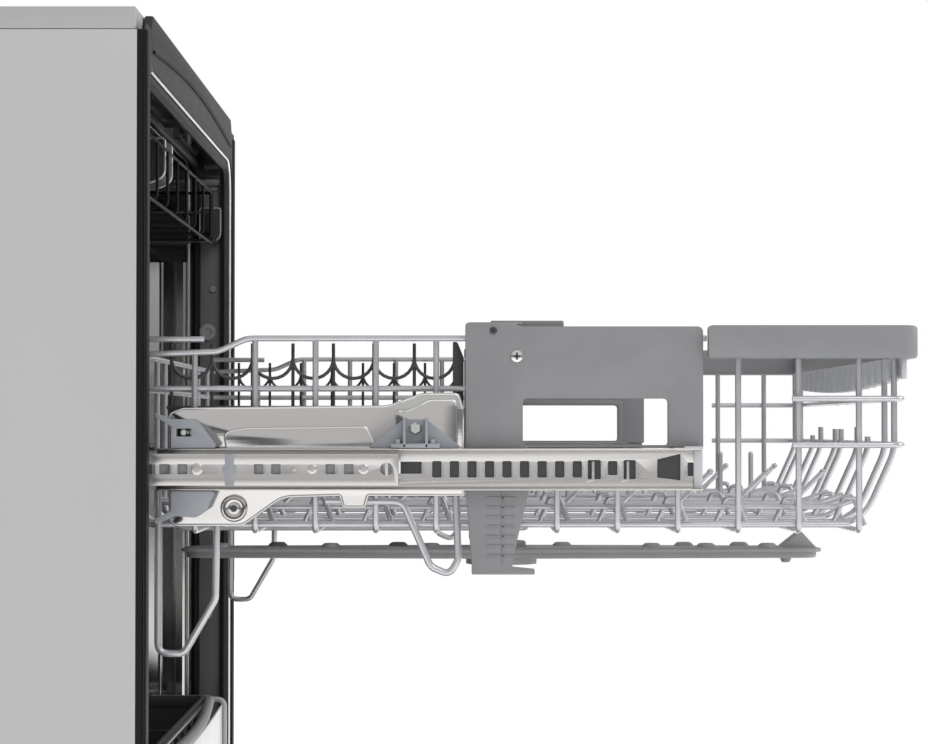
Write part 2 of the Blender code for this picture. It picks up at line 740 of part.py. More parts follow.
LEVER_ENDS = (-0.262, -0.215)
LEVER_HEIGHT = 0.024
LEVER_DROP = 0.0125          # its foot under the rack's rim
LEVER_THICK = 0.004


def make_adjusters():
    """Height adjusters: a moulded frame with a grip window on each side, and a press lever inside it."""
    back, front = ADJUSTER_BACK, ADJUSTER_FRONT
    low_top = RACK_RIM + ADJUSTER_RISE
    top = low_top + ADJUSTER_HUMP
    corner = 0.004
    sill = RAIL_Z + RAIL_HEIGHT / 2 + RAIL_CLEAR
    leg = back - ADJUSTER_LEG
    knee = RAIL_Z - RAIL_HEIGHT / 2
    foot = RACK_FLOOR - ADJUSTER_DROP
    outline = [(back, top - corner), (back - corner, top), (back - WINDOW_BACK + SHEET, top),
               (back - WINDOW_BACK - SHEET, low_top), (front, low_top), (front, sill - 0.002),
               (leg, sill - 0.002), (leg, knee), (leg - 0.003, foot), (back - corner, foot),
               (back - corner, foot + 0.007), (back, knee)]
    head = sill + WINDOW_HEIGHT
    window = [(back - WINDOW_BACK, sill), (front + WINDOW_FRONT, sill), (front + WINDOW_FRONT, head),
              (back - WINDOW_BACK, head)]
    middle = ADJUSTER_IN + ADJUSTER_THICK / 2
    lever_out = RACK_HALF - WIRE / 2 - 0.0007
    for side, sign in SIDES.items():
        mesh = plate_mesh(outline, ADJUSTER_THICK / 2, side_plane(sign * middle), [window])
        add_part(f"height_adjuster_{side}", mesh, grey_plastic)
        faces = sorted((sign * (lever_out - LEVER_THICK), sign * lever_out))
        foot = RACK_RIM - LEVER_DROP
        low = (faces[0], LEVER_ENDS[0], foot)
        high = (faces[1], LEVER_ENDS[1], foot + LEVER_HEIGHT)
        pivot = (sign * lever_out, (low[1] + high[1]) / 2, low[2])
        add_part(f"adjuster_lever_{side}", box_mesh(low, high), grey_plastic, pivot)


def make_side_plates():
    """Steel plates that carry the rack rails, with the plastic rail brackets above and below."""
    front, back = PLATE_ENDS
    rail_top = RAIL_Z + RAIL_HEIGHT / 2 + GAP
    rail_low = RAIL_Z - RAIL_HEIGHT / 2 - GAP
    top = rail_top + PLATE_RISE
    foot = rail_low - PLATE_DROP
    lobe = foot - PLATE_LOBE
    crest = top + PLATE_CREST
    outline = [(back, top), (front + 0.048, top), (front + 0.030, crest), (front + 0.006, crest),
               (front, top), (front, foot), (back - 0.070, foot), (back - 0.048, lobe), (back, lobe)]
    reach = RAIL_IN + 0.010
    for side, sign in SIDES.items():
        plane = side_plane(sign * (PLATE_IN + SHEET / 2))
        plate = add_part(f"side_plate_{side}", plate_mesh(outline, SHEET / 2, plane), stainless)
        faces = sorted((sign * (PLATE_IN + SHEET / 2), sign * reach))
        blocks = [(REAR_BRACKET, rail_top, top - 0.004), (REAR_BRACKET, lobe + 0.003, rail_low),
                  (FRONT_BRACKET, rail_top, top - 0.011)]
        for ends, low, high in blocks:
            join(plate, box_mesh((faces[0], ends[0], low), (faces[1], ends[1], high)))


def channel(near, far, height, opens_out):
    """Outline of a rail, as (distance from the middle, height)."""
    half = height / 2
    web = near if opens_out else far
    lip = far if opens_out else near
    wall = RAIL_WALL if opens_out else -RAIL_WALL
    return [(web, RAIL_Z - half), (lip, RAIL_Z - half), (lip, RAIL_Z - half + RAIL_WALL),
            (web + wall, RAIL_Z - half + RAIL_WALL), (web + wall, RAIL_Z + half - RAIL_WALL),
            (lip, RAIL_Z + half - RAIL_WALL), (lip, RAIL_Z + half), (web, RAIL_Z + half)]


def make_rail(name, outline, ends, sign):
    loop = [(sign * x, z) for x, z in outline]
    half = (ends[1] - ends[0]) / 2
    add_part(name, plate_mesh(loop, half, front_plane(ends[0] + half)), stainless)


def make_rails():
    """Telescopic rails: a rack member and a fixed member clasp the middle member between them."""
    rack = channel(RAIL_IN, RAIL_IN + RAIL_REACH, RAIL_HEIGHT, True)
    middle = channel(MID_IN, MID_OUT, MID_RAIL_HEIGHT, False)
    fixed = channel(FIXED_IN, FIXED_OUT, RAIL_HEIGHT, False)
    for side, sign in SIDES.items():
        make_rail(f"rack_rail_{side}", rack, RACK_RAIL, sign)
        make_rail(f"middle_rail_{side}", middle, MID_RAIL, sign)
        make_rail(f"fixed_rail_{side}", fixed, FIXED_RAIL, sign)


SHELF_AXIS_Z = RACK_RIM - 0.045
SHELF_HEIGHT = 0.043
SHELF_ENDS = (-0.198, -0.008)
SHELF_THICK = 0.003
SCALLOP_PITCH = 0.026
SCALLOP_WIDTH = 0.022
SCALLOP_DEPTH = 0.020


def make_cup_shelves():
    """Scalloped shelves that fold down from the rack's sides, behind the height adjusters."""
    x = RACK_HALF - WIRE / 2 - 0.003 - SHELF_THICK / 2
    top = SHELF_AXIS_Z + SHELF_HEIGHT
    scallops = int((SHELF_ENDS[1] - SHELF_ENDS[0]) / SCALLOP_PITCH)
    for side, sign in SIDES.items():
        pivot = (sign * x, (SHELF_ENDS[0] + SHELF_ENDS[1]) / 2, SHELF_AXIS_Z)
        low = (sign * x - SHELF_THICK / 2, SHELF_ENDS[0], SHELF_AXIS_Z)
        high = (sign * x + SHELF_THICK / 2, SHELF_ENDS[1], top)
        shelf = add_part(f"cup_shelf_{side}", box_mesh(low, high), dark_plastic, pivot)
        for step in range(scallops):
            y = SHELF_ENDS[0] + SCALLOP_PITCH * (step + 0.5)
            cut(shelf, box_mesh((sign * x - 0.01, y - SCALLOP_WIDTH / 2, top - SCALLOP_DEPTH),
                                (sign * x + 0.01, y + SCALLOP_WIDTH / 2, top + 0.01)))


def make_folding_tines():
    """A row of tines on one rod, which folds flat."""
    z = RACK_FLOOR + WIRE / 2 + 0.0035
    rod = path_mesh([(0, TINE_ENDS[0], z), (0, TINE_ENDS[1], z)], 0.002)
    row = add_part("folding_tines", rod, coated_wire, (0, 0, z))
    for step in range(9):
        y = TINE_ENDS[0] + 0.020 + TINE_PITCH * step
        join(row, path_mesh([(0, y, z), (0, y, z + TINE_HEIGHT)], 0.0017))


def blade(length, root, tip, thickness, centre):
    """A flat arm along Y, wider at its hub."""
    half = length / 2
    x, y, z = centre
    outline = [(x - root, y), *arc((x, y - half + tip), tip, 180, 360, 6),
               (x + root, y), *arc((x, y + half - tip), tip, 0, 180, 6)]
    return plate_mesh(outline, thickness / 2, level_plane(z))


def make_middle_arm():
    hub = 0.026
    low = ARM_Z - ARM_THICK / 2 - 0.0055
    top = ARM_Z + ARM_THICK / 2 + 0.0035
    arm = add_part("middle_spray_arm", blade(ARM_LENGTH, 0.030, 0.018, ARM_THICK, ARM_PIVOT), grey_plastic,
                   ARM_PIVOT)
    join(arm, rod_mesh((0, ARM_Y, low), (0, ARM_Y, top), hub, 24))
    cut(arm, rod_mesh((0, ARM_Y, low + 0.002), (0, ARM_Y, top + 0.01), 0.012 + FIT))


def make_rack_feed():
    """The duct under the rack's floor that carries water to the middle arm."""
    top = RACK_FLOOR - WIRE / 2 - GAP * 2
    low = ARM_Z + ARM_THICK / 2 + 0.0050
    duct = box_mesh((-0.016, ARM_Y - 0.020, low), (0.016, RACK_REAR + 0.001, top))
    feed = add_part("rack_feed_duct", duct, grey_plastic)
    join(feed, rod_mesh((0, ARM_Y, low + 0.002), (0, ARM_Y, ARM_Z - ARM_THICK / 2 - 0.003), 0.012))


# ---- lower rack

def make_lower_rack():
    rows = even_steps(LOWER_FRONT, LOWER_FRONT + LOWER_DEPTH, 9)
    columns = even_steps(-LOWER_HALF, LOWER_HALF, 6)
    lean = LOWER_RIM_HALF - LOWER_HALF
    middle = (LOWER_FLOOR + LOWER_RIM) / 2
    cage = basket_cage(columns, rows, LOWER_FLOOR, [(middle, lean / 2), (LOWER_RIM, lean)])
    rack = add_part("lower_rack", cage, coated_wire)
    make_wires(rack, WIRE)
    for sign in SIDES.values():
        for y in wheel_rows():
            faces = sorted((sign * (LOWER_HALF - 0.0015), sign * (LOWER_HALF + 0.0025)))
            low = (faces[0], y - 0.010, AXLE_Z - 0.008)
            join(rack, box_mesh(low, (faces[1], y + 0.010, LOWER_FLOOR + 0.001)))
            join(rack, rod_mesh((sign * LOWER_HALF, y, AXLE_Z),
                                (sign * (WHEEL_IN + WHEEL_WIDTH + 0.001), y, AXLE_Z), AXLE_RADIUS, 12))


def wheel_rows():
    return (LOWER_FRONT + 0.075, LOWER_FRONT + LOWER_DEPTH - 0.075)


def make_wheels():
    for row, y in zip(("front", "rear"), wheel_rows()):
        for side, sign in SIDES.items():
            inner = AXLE_RADIUS + FIT
            half = WHEEL_WIDTH / 2
            profile = [(inner, half), (WHEEL_RADIUS, half), (WHEEL_RADIUS, -half), (inner, -half),
                       (inner, half)]
            centre = (sign * (WHEEL_IN + half), y, AXLE_Z)
            wheel = turned(f"rack_wheel_{row}_{side}", profile, dark_plastic, centre, 24)
            wheel.rotation_euler = (0, math.radians(90), 0)


def make_cutlery_basket():
    """An open basket that hangs across the lower rack's front."""
    y = LOWER_FRONT + WIRE
    low = (-BASKET_WIDTH / 2, y, LOWER_RIM - BASKET_HEIGHT)
    high = (BASKET_WIDTH / 2, y + BASKET_DEPTH, LOWER_RIM + 0.005)
    basket = add_part("cutlery_basket", tray_mesh(low, high, (0, 0, 1)), dark_plastic)
    thicken(basket, 0.002)


def make_lower_arm():
    z = TUB_FLOOR + 0.034
    low = TUB_FLOOR + 0.016
    top = TUB_FLOOR + 0.041
    centre = (0, LOWER_ARM_Y, z)
    shape = blade(LOWER_ARM_LENGTH, 0.032, 0.020, 0.008, centre)
    arm = add_part("lower_spray_arm", shape, grey_plastic, centre)
    join(arm, rod_mesh((0, LOWER_ARM_Y, low), (0, LOWER_ARM_Y, top), 0.028, 24))
    cut(arm, rod_mesh((0, LOWER_ARM_Y, low - 0.01), (0, LOWER_ARM_Y, TUB_FLOOR + 0.0365), POST_RADIUS + FIT))


def make_top_arm():
    roof = TUB_TOP - GAP - 0.007
    z = roof - 0.009
    centre = (0, LOWER_ARM_Y, z)
    arm = add_part("top_spray_arm", blade(0.200, 0.018, 0.010, 0.005, centre), grey_plastic, centre)
    join(arm, rod_mesh((0, LOWER_ARM_Y, z - 0.005), (0, LOWER_ARM_Y, z + 0.006), 0.016, 20))
    cut(arm, rod_mesh((0, LOWER_ARM_Y, z - 0.0035), (0, LOWER_ARM_Y, z + 0.02), 0.008 + FIT))


# ---- third rack

def make_third_rack():
    rows = even_steps(TRAY_FRONT, TRAY_FRONT + TRAY_DEPTH, 6)
    edge = TRAY_HALF - 0.004
    columns = even_steps(-edge, edge, 6)
    cage = basket_cage(columns, rows, TRAY_FLOOR, [(TRAY_FLOOR + TRAY_HEIGHT, 0)])
    tray = add_part("third_rack", cage, coated_wire)
    make_wires(tray, WIRE)
    runners = []
    for sign in SIDES.values():
        faces = sorted((sign * (TRAY_HALF - 0.0033), sign * (TRAY_HALF + 0.010)))
        runners.append(box_mesh((faces[0], TRAY_FRONT + 0.012, THIRD_RAIL_Z - 0.005),
                                (faces[1], TRAY_FRONT + TRAY_DEPTH - 0.012, THIRD_RAIL_Z + 0.005)))
    join(tray, both(*runners))


def make_third_rails():
    """Channels high on the tub's walls that the third rack runs in."""
    near = TRAY_HALF + 0.0035
    far = TUB_HALF - GAP
    half = THIRD_RAIL_HEIGHT / 2
    wall = 0.002
    z = THIRD_RAIL_Z
    outline = [(far, z - half), (near, z - half), (near, z - half + wall), (far - wall, z - half + wall),
               (far - wall, z + half - wall), (near, z + half - wall), (near, z + half), (far, z + half)]
    for side, sign in SIDES.items():
        make_rail(f"third_rail_{side}", outline, (TRAY_FRONT - 0.004, TRAY_FRONT + TRAY_DEPTH - 0.014), sign)


def main():
    make_feet()
    make_base_pan()
    make_side_panels()
    make_top_panel()
    make_rear_panel()
    make_front_frame()
    make_hinge_brackets()
    make_tub()
    make_gasket()
    make_latch_strike()
    make_sump()
    make_filter_cup()
    make_pumps()
    make_feed_pipe()
    make_door_panels()
    make_control_strip()
    make_handle()
    make_dispenser()
    make_upper_rack()
    make_front_trim()
    make_adjusters()
    make_side_plates()
    make_rails()
    make_cup_shelves()
    make_folding_tines()
    make_middle_arm()
    make_rack_feed()
    make_lower_rack()
    make_wheels()
    make_cutlery_basket()
    make_lower_arm()
    make_top_arm()
    make_third_rack()
    make_third_rails()


clear_scene()
parts = new_collection("built_in_dishwasher", bpy.context.scene.collection)
guides = new_collection("cutters_and_guides", bpy.context.scene.collection)
flange_plane = bpy.data.objects.new("flange_plane", None)
flange_plane.location = (0, FLANGE_Y, 0)
parts.objects.link(flange_plane)
main()
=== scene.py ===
"""The built-in dishwasher's looks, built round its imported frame. Metres, +Z up, front towards -Y."""
import math
from collections import namedtuple
import bmesh
import bpy
from mathutils import Matrix, Vector


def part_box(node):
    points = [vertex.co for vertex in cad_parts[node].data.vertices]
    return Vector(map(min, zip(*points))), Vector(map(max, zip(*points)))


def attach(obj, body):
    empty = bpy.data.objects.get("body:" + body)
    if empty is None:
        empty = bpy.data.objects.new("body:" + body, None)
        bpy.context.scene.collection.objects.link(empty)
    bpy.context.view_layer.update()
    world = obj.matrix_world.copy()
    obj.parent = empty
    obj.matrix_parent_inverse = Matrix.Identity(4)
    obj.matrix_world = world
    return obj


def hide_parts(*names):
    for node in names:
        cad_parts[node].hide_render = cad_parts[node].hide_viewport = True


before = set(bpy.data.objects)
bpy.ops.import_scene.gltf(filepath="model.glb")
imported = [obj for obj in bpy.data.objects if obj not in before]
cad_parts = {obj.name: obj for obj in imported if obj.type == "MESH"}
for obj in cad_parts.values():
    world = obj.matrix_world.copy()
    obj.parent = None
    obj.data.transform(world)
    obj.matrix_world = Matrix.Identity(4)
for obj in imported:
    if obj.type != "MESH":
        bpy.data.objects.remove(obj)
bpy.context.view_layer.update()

Place = namedtuple("Place", "x y z")


def lowest(node):
    return Vector(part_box(node)[0])


def highest(node):
    return Vector(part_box(node)[1])


def ends(node):
    """A node's lowest and highest corner, with Y measured from the tub's front flange."""
    return [Place(corner.x, corner.y - FLANGE, corner.z) for corner in map(Vector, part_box(node))]


# ---- places read from the frame. Lengths along Y are measured from the tub's front flange.
FLANGE = lowest("front_frame").y
SIDES = {"left": -1, "right": 1}
CASE_HALF = highest("top_panel").x
CASE_TOP = highest("top_panel").z
TUB_HALF = highest("door_gasket").x + 0.0009
TUB_TOP = highest("latch_strike").z + 0.0003
TUB_FLOOR = highest("door_inner_panel").z
RACK_HALF = lowest("height_adjuster_right").x - 0.0025
RIM_Z = highest("upper_rack").z - 0.0018
FLOOR_Z = highest("rack_feed_duct").z + 0.0024
RAIL_Z = (lowest("rack_rail_left").z + highest("rack_rail_left").z) / 2
RACK_FRONT = lowest("rack_front_trim").y - FLANGE
RACK_REAR = highest("upper_rack").y - FLANGE - 0.0018
PLATE_X = lowest("side_plate_right").x
RAIL_X = lowest("rack_rail_right").x
ARM_Y = (lowest("middle_spray_arm").y + highest("middle_spray_arm").y) / 2 - FLANGE
SIDE_PITCH = 0.0385
WIRE = 0.002
TRIM_THICK = 0.01
PLAIN_SPAN = (-0.35, -0.199)    # behind the height adjusters, where the side wires stop low


# ---- stage

def make_camera():
    data = bpy.data.cameras.new("camera")
    data.sensor_width = 36.0
    data.lens = 96.2
    data.clip_end = 50
    camera = bpy.data.objects.new("camera", data)
    camera.location = (-1.829, FLANGE - 0.1957, 0.5995)
    camera.rotation_euler = (math.radians(91.27), 0, math.radians(-90.09))
    bpy.context.scene.collection.objects.link(camera)
    bpy.context.scene.camera = camera


def make_light(name, place, target, size, power):
    data = bpy.data.lights.new(name, "AREA")
    data.shape = "RECTANGLE"
    data.size, data.size_y = size
    data.energy = power
    light = bpy.data.objects.new(name, data)
    light.location = place
    aim = Vector(target) - Vector(place)
    light.rotation_euler = aim.to_track_quat("-Z", "Y").to_euler()
    bpy.context.scene.collection.objects.link(light)


def make_world(scene):
    """White to the camera, and a soft studio with darker corners to everything else."""
    world = bpy.data.worlds.new("studio")
    world.use_nodes = True
    scene.world = world
    tree = world.node_tree
    room = tree.nodes["Background"]
    room.inputs["Strength"].default_value = 0.7
    place = add_node(tree, "TexCoord")
    split = add_node(tree, "SeparateXYZ")
    link(place, "Generated", split, "Vector")
    span = add_node(tree, "MapRange", From_Min=-0.25, From_Max=0.45)
    link(split, "Z", span, "Value")
    drift = add_node(tree, "TexNoise", Scale=2.6, Detail=1.0)
    link(place, "Generated", drift, "Vector")
    blend = add_node(tree, "Math")
    blend.operation = "MULTIPLY_ADD"
    blend.inputs[1].default_value = 1.3
    link(drift, "Fac", blend, 0)
    link(span, "Result", blend, 2)
    ramp = add_node(tree, "ValToRGB")
    dark, bright = ramp.color_ramp.elements
    dark.position, dark.color = 0.55, (0.16, 0.16, 0.165, 1)
    bright.position, bright.color = 1.25 / 1.5, (1, 1, 1, 1)
    ramp.color_ramp.elements.new(0.7).color = (0.55, 0.55, 0.555, 1)
    scale = add_node(tree, "Math")
    scale.operation = "MULTIPLY"
    scale.inputs[1].default_value = 0.65
    link(blend, "Value", scale, 0)
    link(scale, "Value", ramp, "Fac")
    link(ramp, "Color", room, "Color")
    backdrop = add_node(tree, "Background", Color=(1, 1, 1, 1))
    path = add_node(tree, "LightPath")
    mix = add_node(tree, "MixShader")
    link(path, "Is Camera Ray", mix, "Fac")
    link(room, "Background", mix, 1)
    link(backdrop, "Background", mix, 2)
    link(mix, "Shader", tree.nodes["World Output"], "Surface")


def make_stage():
    scene = bpy.context.scene
    scene.view_settings.view_transform = "Standard"
    make_world(scene)
    shape = bmesh.new()
    bmesh.ops.create_grid(shape, x_segments=8, y_segments=8, size=8.0)
    mesh = bpy.data.meshes.new("floor")
    shape.to_mesh(mesh)
    shape.free()
    floor = bpy.data.objects.new("floor", mesh)
    floor.location = (0, 0, -0.0005)
    ground, shader = new_material("floor_paint", (0.9, 0.9, 0.9), 0.9)
    shader.inputs["Emission Color"].default_value = (1, 1, 1, 1)
    shader.inputs["Emission Strength"].default_value = 0.66
    mesh.materials.append(ground)
    scene.collection.objects.link(floor)
    make_light("key", (-1.7, -1.4, 2.4), (0, 0, 0.6), (1.8, 1.4), 17)
    make_light("front", (0.6, -2.6, 1.5), (0, 0, 0.5), (1.6, 1.0), 12)


# ---- materials

def new_material(name, colour, roughness, metallic=0.0):
    made = bpy.data.materials.new(name)
    made.use_nodes = True
    shader = made.node_tree.nodes["Principled BSDF"]
    shader.inputs["Base Color"].default_value = (*colour, 1)
    shader.inputs["Roughness"].default_value = roughness
    shader.inputs["Metallic"].default_value = metallic
    return made, shader


def add_node(tree, kind, **values):
    node = tree.nodes.new(f"ShaderNode{kind}")
    for name, value in values.items():
        node.inputs[name.replace("_", " ")].default_value = value
    return node


def link(start, out, end, into):
    start.id_data.links.new(start.outputs[out], end.inputs[into])


def noise_over(shader, scale, detail, stretch):
    """Noise laid over a piece in its own coordinates."""
    tree = shader.id_data
    noise = add_node(tree, "TexNoise", Scale=scale, Detail=detail)
    place = add_node(tree, "TexCoord")
    mapping = add_node(tree, "Mapping", Scale=stretch)
    link(place, "Object", mapping, "Vector")
    link(mapping, "Vector", noise, "Vector")
    return noise


def vary(shader, colour, spread, rough, noise_scale, stretch=(1, 1, 1)):
    """Colour and roughness that drift a little over the surface."""
    noise = noise_over(shader, noise_scale, 4, stretch)
    ramp = add_node(shader.id_data, "ValToRGB")
    dark, bright = ramp.color_ramp.elements
    dark.position, bright.position = 0.35, 0.65
    dark.color = (*[part * (1 - spread) for part in colour], 1)
    bright.color = (*[min(1, part * (1 + spread)) for part in colour], 1)
    link(noise, "Fac", ramp, "Fac")
    link(ramp, "Color", shader, "Base Color")
    span = add_node(shader.id_data, "MapRange", To_Min=rough[0], To_Max=rough[1])
    link(noise, "Fac", span, "Value")
    link(span, "Result", shader, "Roughness")


def roughen(shader, noise_scale, strength, distance, stretch=(1, 1, 1)):
    """A fine bump from noise."""
    noise = noise_over(shader, noise_scale, 3, stretch)
    bump = add_node(shader.id_data, "Bump", Strength=strength, Distance=distance)
    link(noise, "Fac", bump, "Height")
    link(bump, "Normal", shader, "Normal")


def metal(name, colour, rough, grain=(1, 0.02, 1), depth=0.00003):
    """Rolled sheet: fine streaks along one axis, small drifts in tone and gloss."""
    made, shader = new_material(name, colour, rough[0], 1.0)
    vary(shader, colour, 0.06, rough, 18, grain)
    roughen(shader, 900, 0.35, depth, grain)
    return made


def moulding(name, colour, rough=(0.42, 0.52), depth=0.00006, shine=0.5):
    """Injection-moulded plastic with a fine spark-eroded grain."""
    made, shader = new_material(name, colour, rough[0])
    shader.inputs["Specular IOR Level"].default_value = shine
    vary(shader, colour, 0.035, rough, 40)
    roughen(shader, 1400, 0.35, depth)
    return made


def coating(name, colour, rough=(0.28, 0.38)):
    """Thick smooth coating on wire, slightly uneven from dipping."""
    made, shader = new_material(name, colour, rough[0], 0.55)
    vary(shader, colour, 0.05, rough, 60)
    roughen(shader, 260, 0.25, 0.0001)
    shader.inputs["Coat Weight"].default_value = 0.25
    shader.inputs["Coat Roughness"].default_value = 0.2
    return made


def paint(name, colour):
    """Powder coat with its orange-peel skin."""
    made, shader = new_material(name, colour, 0.5)
    vary(shader, colour, 0.008, (0.46, 0.54), 12)
    roughen(shader, 700, 0.3, 0.00008)
    return made


MATERIALS = {name: kind(name, *rest) for name,
    (kind, *rest) in {"stainless": (metal, (0.49, 0.479, 0.469), (0.2, 0.3)), "tub_steel": (metal,
    (0.56, 0.55, 0.54), (0.1, 0.17), (1, 1, 0.03)), "polished": (metal, (0.61, 0.6, 0.59), (0.08, 0.14)),
    "rail": (metal, (0.55, 0.537, 0.525), (0.22, 0.3)), "grey": (moulding, (0.225, 0.228, 0.235)),
    "bracket": (moulding, (0.29, 0.305, 0.33)), "light": (moulding, (0.5, 0.51, 0.53)),
    "dark": (moulding, (0.045, 0.046, 0.05)), "arm": (moulding, (0.285, 0.286, 0.294)), "neck": (moulding,
    (0.165, 0.162, 0.163), (0.3, 0.4)), "wire": (coating, (0.52, 0.525, 0.545), (0.16, 0.24)),
    "dark_wire": (coating, (0.05, 0.05, 0.054)), "casing": (paint, (0.455, 0.455, 0.455)),
    "lid": (paint, (0.38, 0.38, 0.384)), "trim": (moulding, (0.006, 0.006, 0.0065), (0.5, 0.6), 0.00006,
    0.18), "band": (moulding, (0.026, 0.025, 0.0255), (0.5, 0.6), 0.00006, 0.35),
    # lip: the tub's rolled stainless rim, made near white as a painted highlight on top of its real metal
    # reflection.
    "lip": (metal, (0.88, 0.88, 0.88), (0.3, 0.38)), "white": (moulding, (0.8, 0.8, 0.81), (0.2, 0.3)),
    "glass": (moulding, (0.006, 0.006, 0.008), (0.04, 0.07), 0.00001), "rubber": (moulding,
    (0.015, 0.015, 0.016), (0.6, 0.75)), "screw": (metal, (0.75, 0.75, 0.74), (0.12, 0.2),
    (1, 1, 1)),}.items()}


# ---- shapes

def finish_piece(name, shape, material, body, node=None, smooth=35):
    """Places a mesh, a list of meshes to join, or a curve, with its material and its body."""
    if isinstance(shape, list):
        shape = joined(*shape)
    piece = bpy.data.objects.new(name, shape)
    piece.location = (0, FLANGE, 0)
    shape.materials.append(MATERIALS[material])
    bpy.context.scene.collection.objects.link(piece)
    if isinstance(shape, bpy.types.Mesh):
        shape.shade_smooth()
        shape.set_sharp_from_angle(angle=math.radians(smooth))
    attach(piece, body)
    if node:
        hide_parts(node)


def to_mesh(shape, name="shape"):
    mesh = bpy.data.meshes.new(name)
    shape.to_mesh(mesh)
    shape.free()
    return mesh


def box(low, high, bevel=0.0, segments=2):
    low, high = Vector(low), Vector(high)
    shape = bmesh.new()
    placed = Matrix.Translation((low + high) / 2) @ Matrix.Diagonal((*(high - low), 1))
    bmesh.ops.create_cube(shape, size=1, matrix=placed)
    if bevel:
        bmesh.ops.bevel(shape, geom=shape.edges[:], offset=bevel, segments=segments, profile=0.5,
            affect="EDGES")
    return to_mesh(shape)


def rod(start, end, radius, sides=32, bevel=0.0):
    start, end = Vector(start), Vector(end)
    along = end - start
    turn = along.to_track_quat("Z", "Y").to_matrix().to_4x4()
    shape = bmesh.new()
    placed = Matrix.Translation((start + end) / 2) @ turn
    bmesh.ops.create_cone(shape, cap_ends=True, segments=sides, radius1=radius, radius2=radius,
        depth=along.length, matrix=placed)
    if bevel:
        rims = [edge for edge in shape.edges if any(len(face.verts) > 4 for face in edge.link_faces)]
        bmesh.ops.bevel(shape, geom=rims, offset=bevel, segments=2, profile=0.5, affect="EDGES")
    return to_mesh(shape)


def turned(profile, placed, steps=40):
    """A turned solid from (radius, height) pairs, closed at both ends."""
    shape = bmesh.new()
    rings = []
    for radius, height in profile:
        ring = []
        for step in range(steps):
            turn = 2 * math.pi * step / steps
            ring.append(shape.verts.new((radius * math.cos(turn), radius * math.sin(turn), height)))
        rings.append(ring)
    for lower, upper in zip(rings, rings[1:]):
        for step in range(steps):
            after = (step + 1) % steps
            shape.faces.new((lower[step], lower[after], upper[after], upper[step]))
    shape.faces.new(rings[0][::-1])
    shape.faces.new(rings[-1])
    bmesh.ops.recalc_face_normals(shape, faces=shape.faces)
    mesh = to_mesh(shape)
    mesh.transform(placed)
    return mesh


def joined(*meshes):
    shape = bmesh.new()
    for mesh in meshes:
        shape.from_mesh(mesh)
    return to_mesh(shape)


def arc(centre, radius, start, end, steps=6):
    turns = [math.radians(start + (end - start) * step / steps) for step in range(steps + 1)]
    return [(centre[0] + radius * math.cos(turn), centre[1] + radius * math.sin(turn)) for turn in turns]


def rounded(points, radius, closed=True, steps=5):
    """An outline or a path with its corners rounded. radius is one number or one for each point."""
    points = [Vector(point) for point in points]
    count = len(points)
    radii = radius if isinstance(radius, (list, tuple)) else [radius] * count
    smooth = []
    for index, point in enumerate(points):
        if not closed and index in (0, count - 1):
            smooth.append(tuple(point))
            continue
        back = points[index - 1] - point
        ahead = points[(index + 1) % count] - point
        half = back.angle(ahead) / 2
        if radii[index] <= 0 or abs(half - math.pi / 2) < 0.01:
            smooth.append(tuple(point))
            continue
        reach = min(radii[index] / math.tan(half), back.length * 0.49, ahead.length * 0.49)
        start = point + back.normalized() * reach
        end = point + ahead.normalized() * reach
        for step in range(steps + 1):
            share = step / steps
            smooth.append(tuple((1 - share) ** 2 * start + 2 * share * (1 - share) * point + share ** 2
                * end))
    return smooth


def side_plane(x):
    axes = Matrix(((0, 0, 1), (1, 0, 0), (0, 1, 0))).to_4x4()
    return Matrix.Translation((x, 0, 0)) @ axes


def front_plane(y):
    axes = Matrix(((1, 0, 0), (0, 0, -1), (0, 1, 0))).to_4x4()
    return Matrix.Translation((0, y, 0)) @ axes


def level_plane(z):
    return Matrix.Translation((0, 0, z))


def plate(outline, thickness, placed, holes=(), edge=0.0):
    """A flat plate with rounded edges, from outlines in its own XY plane."""
    curve = bpy.data.curves.new("outline", "CURVE")
    curve.dimensions = "2D"
    curve.fill_mode = "BOTH"
    curve.extrude = thickness / 2 - edge
    curve.bevel_depth = edge
    curve.bevel_resolution = 1
    curve.offset = -edge
    for loop in (outline, *holes):
        spline = curve.splines.new("POLY")
        spline.points.add(len(loop) - 1)
        for knot, point in zip(spline.points, loop):
            knot.co = (point[0], point[1], 0, 1)
        spline.use_cyclic_u = True
    holder = bpy.data.objects.new("outline", curve)
    bpy.context.scene.collection.objects.link(holder)
    bpy.context.view_layer.update()
    drawn = holder.evaluated_get(bpy.context.evaluated_depsgraph_get())
    mesh = bpy.data.meshes.new_from_object(drawn)
    bpy.data.objects.remove(holder, do_unlink=True)
    bpy.data.curves.remove(curve)
    shape = bmesh.new()
    shape.from_mesh(mesh)
    bmesh.ops.remove_doubles(shape, verts=shape.verts, dist=0.00001)
    bmesh.ops.recalc_face_normals(shape, faces=shape.faces)
    mesh = to_mesh(shape)
    mesh.transform(placed)
    return mesh


def rectangle(y0, y1, z0, z1):
    return [(y0, z0), (y1, z0), (y1, z1), (y0, z1)]


def mm(*values):
    """Lengths or points given in millimetres, in metres."""
    return [tuple(mm(*value)) if isinstance(value, tuple) else value / 1000 for value in values]


def corners(*points):
    """A rounded outline from corners in millimetres, each with the radius of its rounding."""
    points = mm(*points)
    return rounded([point[:2] for point in points], [point[2] for point in points])


def facing(place, sign):
    """Turns a shape's Z axis to point along X, to the side that sign says."""
    return Matrix.Translation(place) @ Matrix.Rotation(math.radians(90 * sign), 4, "Y")


def at_x(x, outline):
    """An outline of (y, z) points as one closed wire route at x."""
    return [(x, y, z) for y, z in outline + outline[:1]]


def cradle(y, top, bottom, rim, floor, radius):
    """A wire down one side of a rack, over its floor and up the other."""
    return rounded([(-top, y, rim), (-bottom, y, floor), (bottom, y, floor), (top, y, rim)], radius, False)


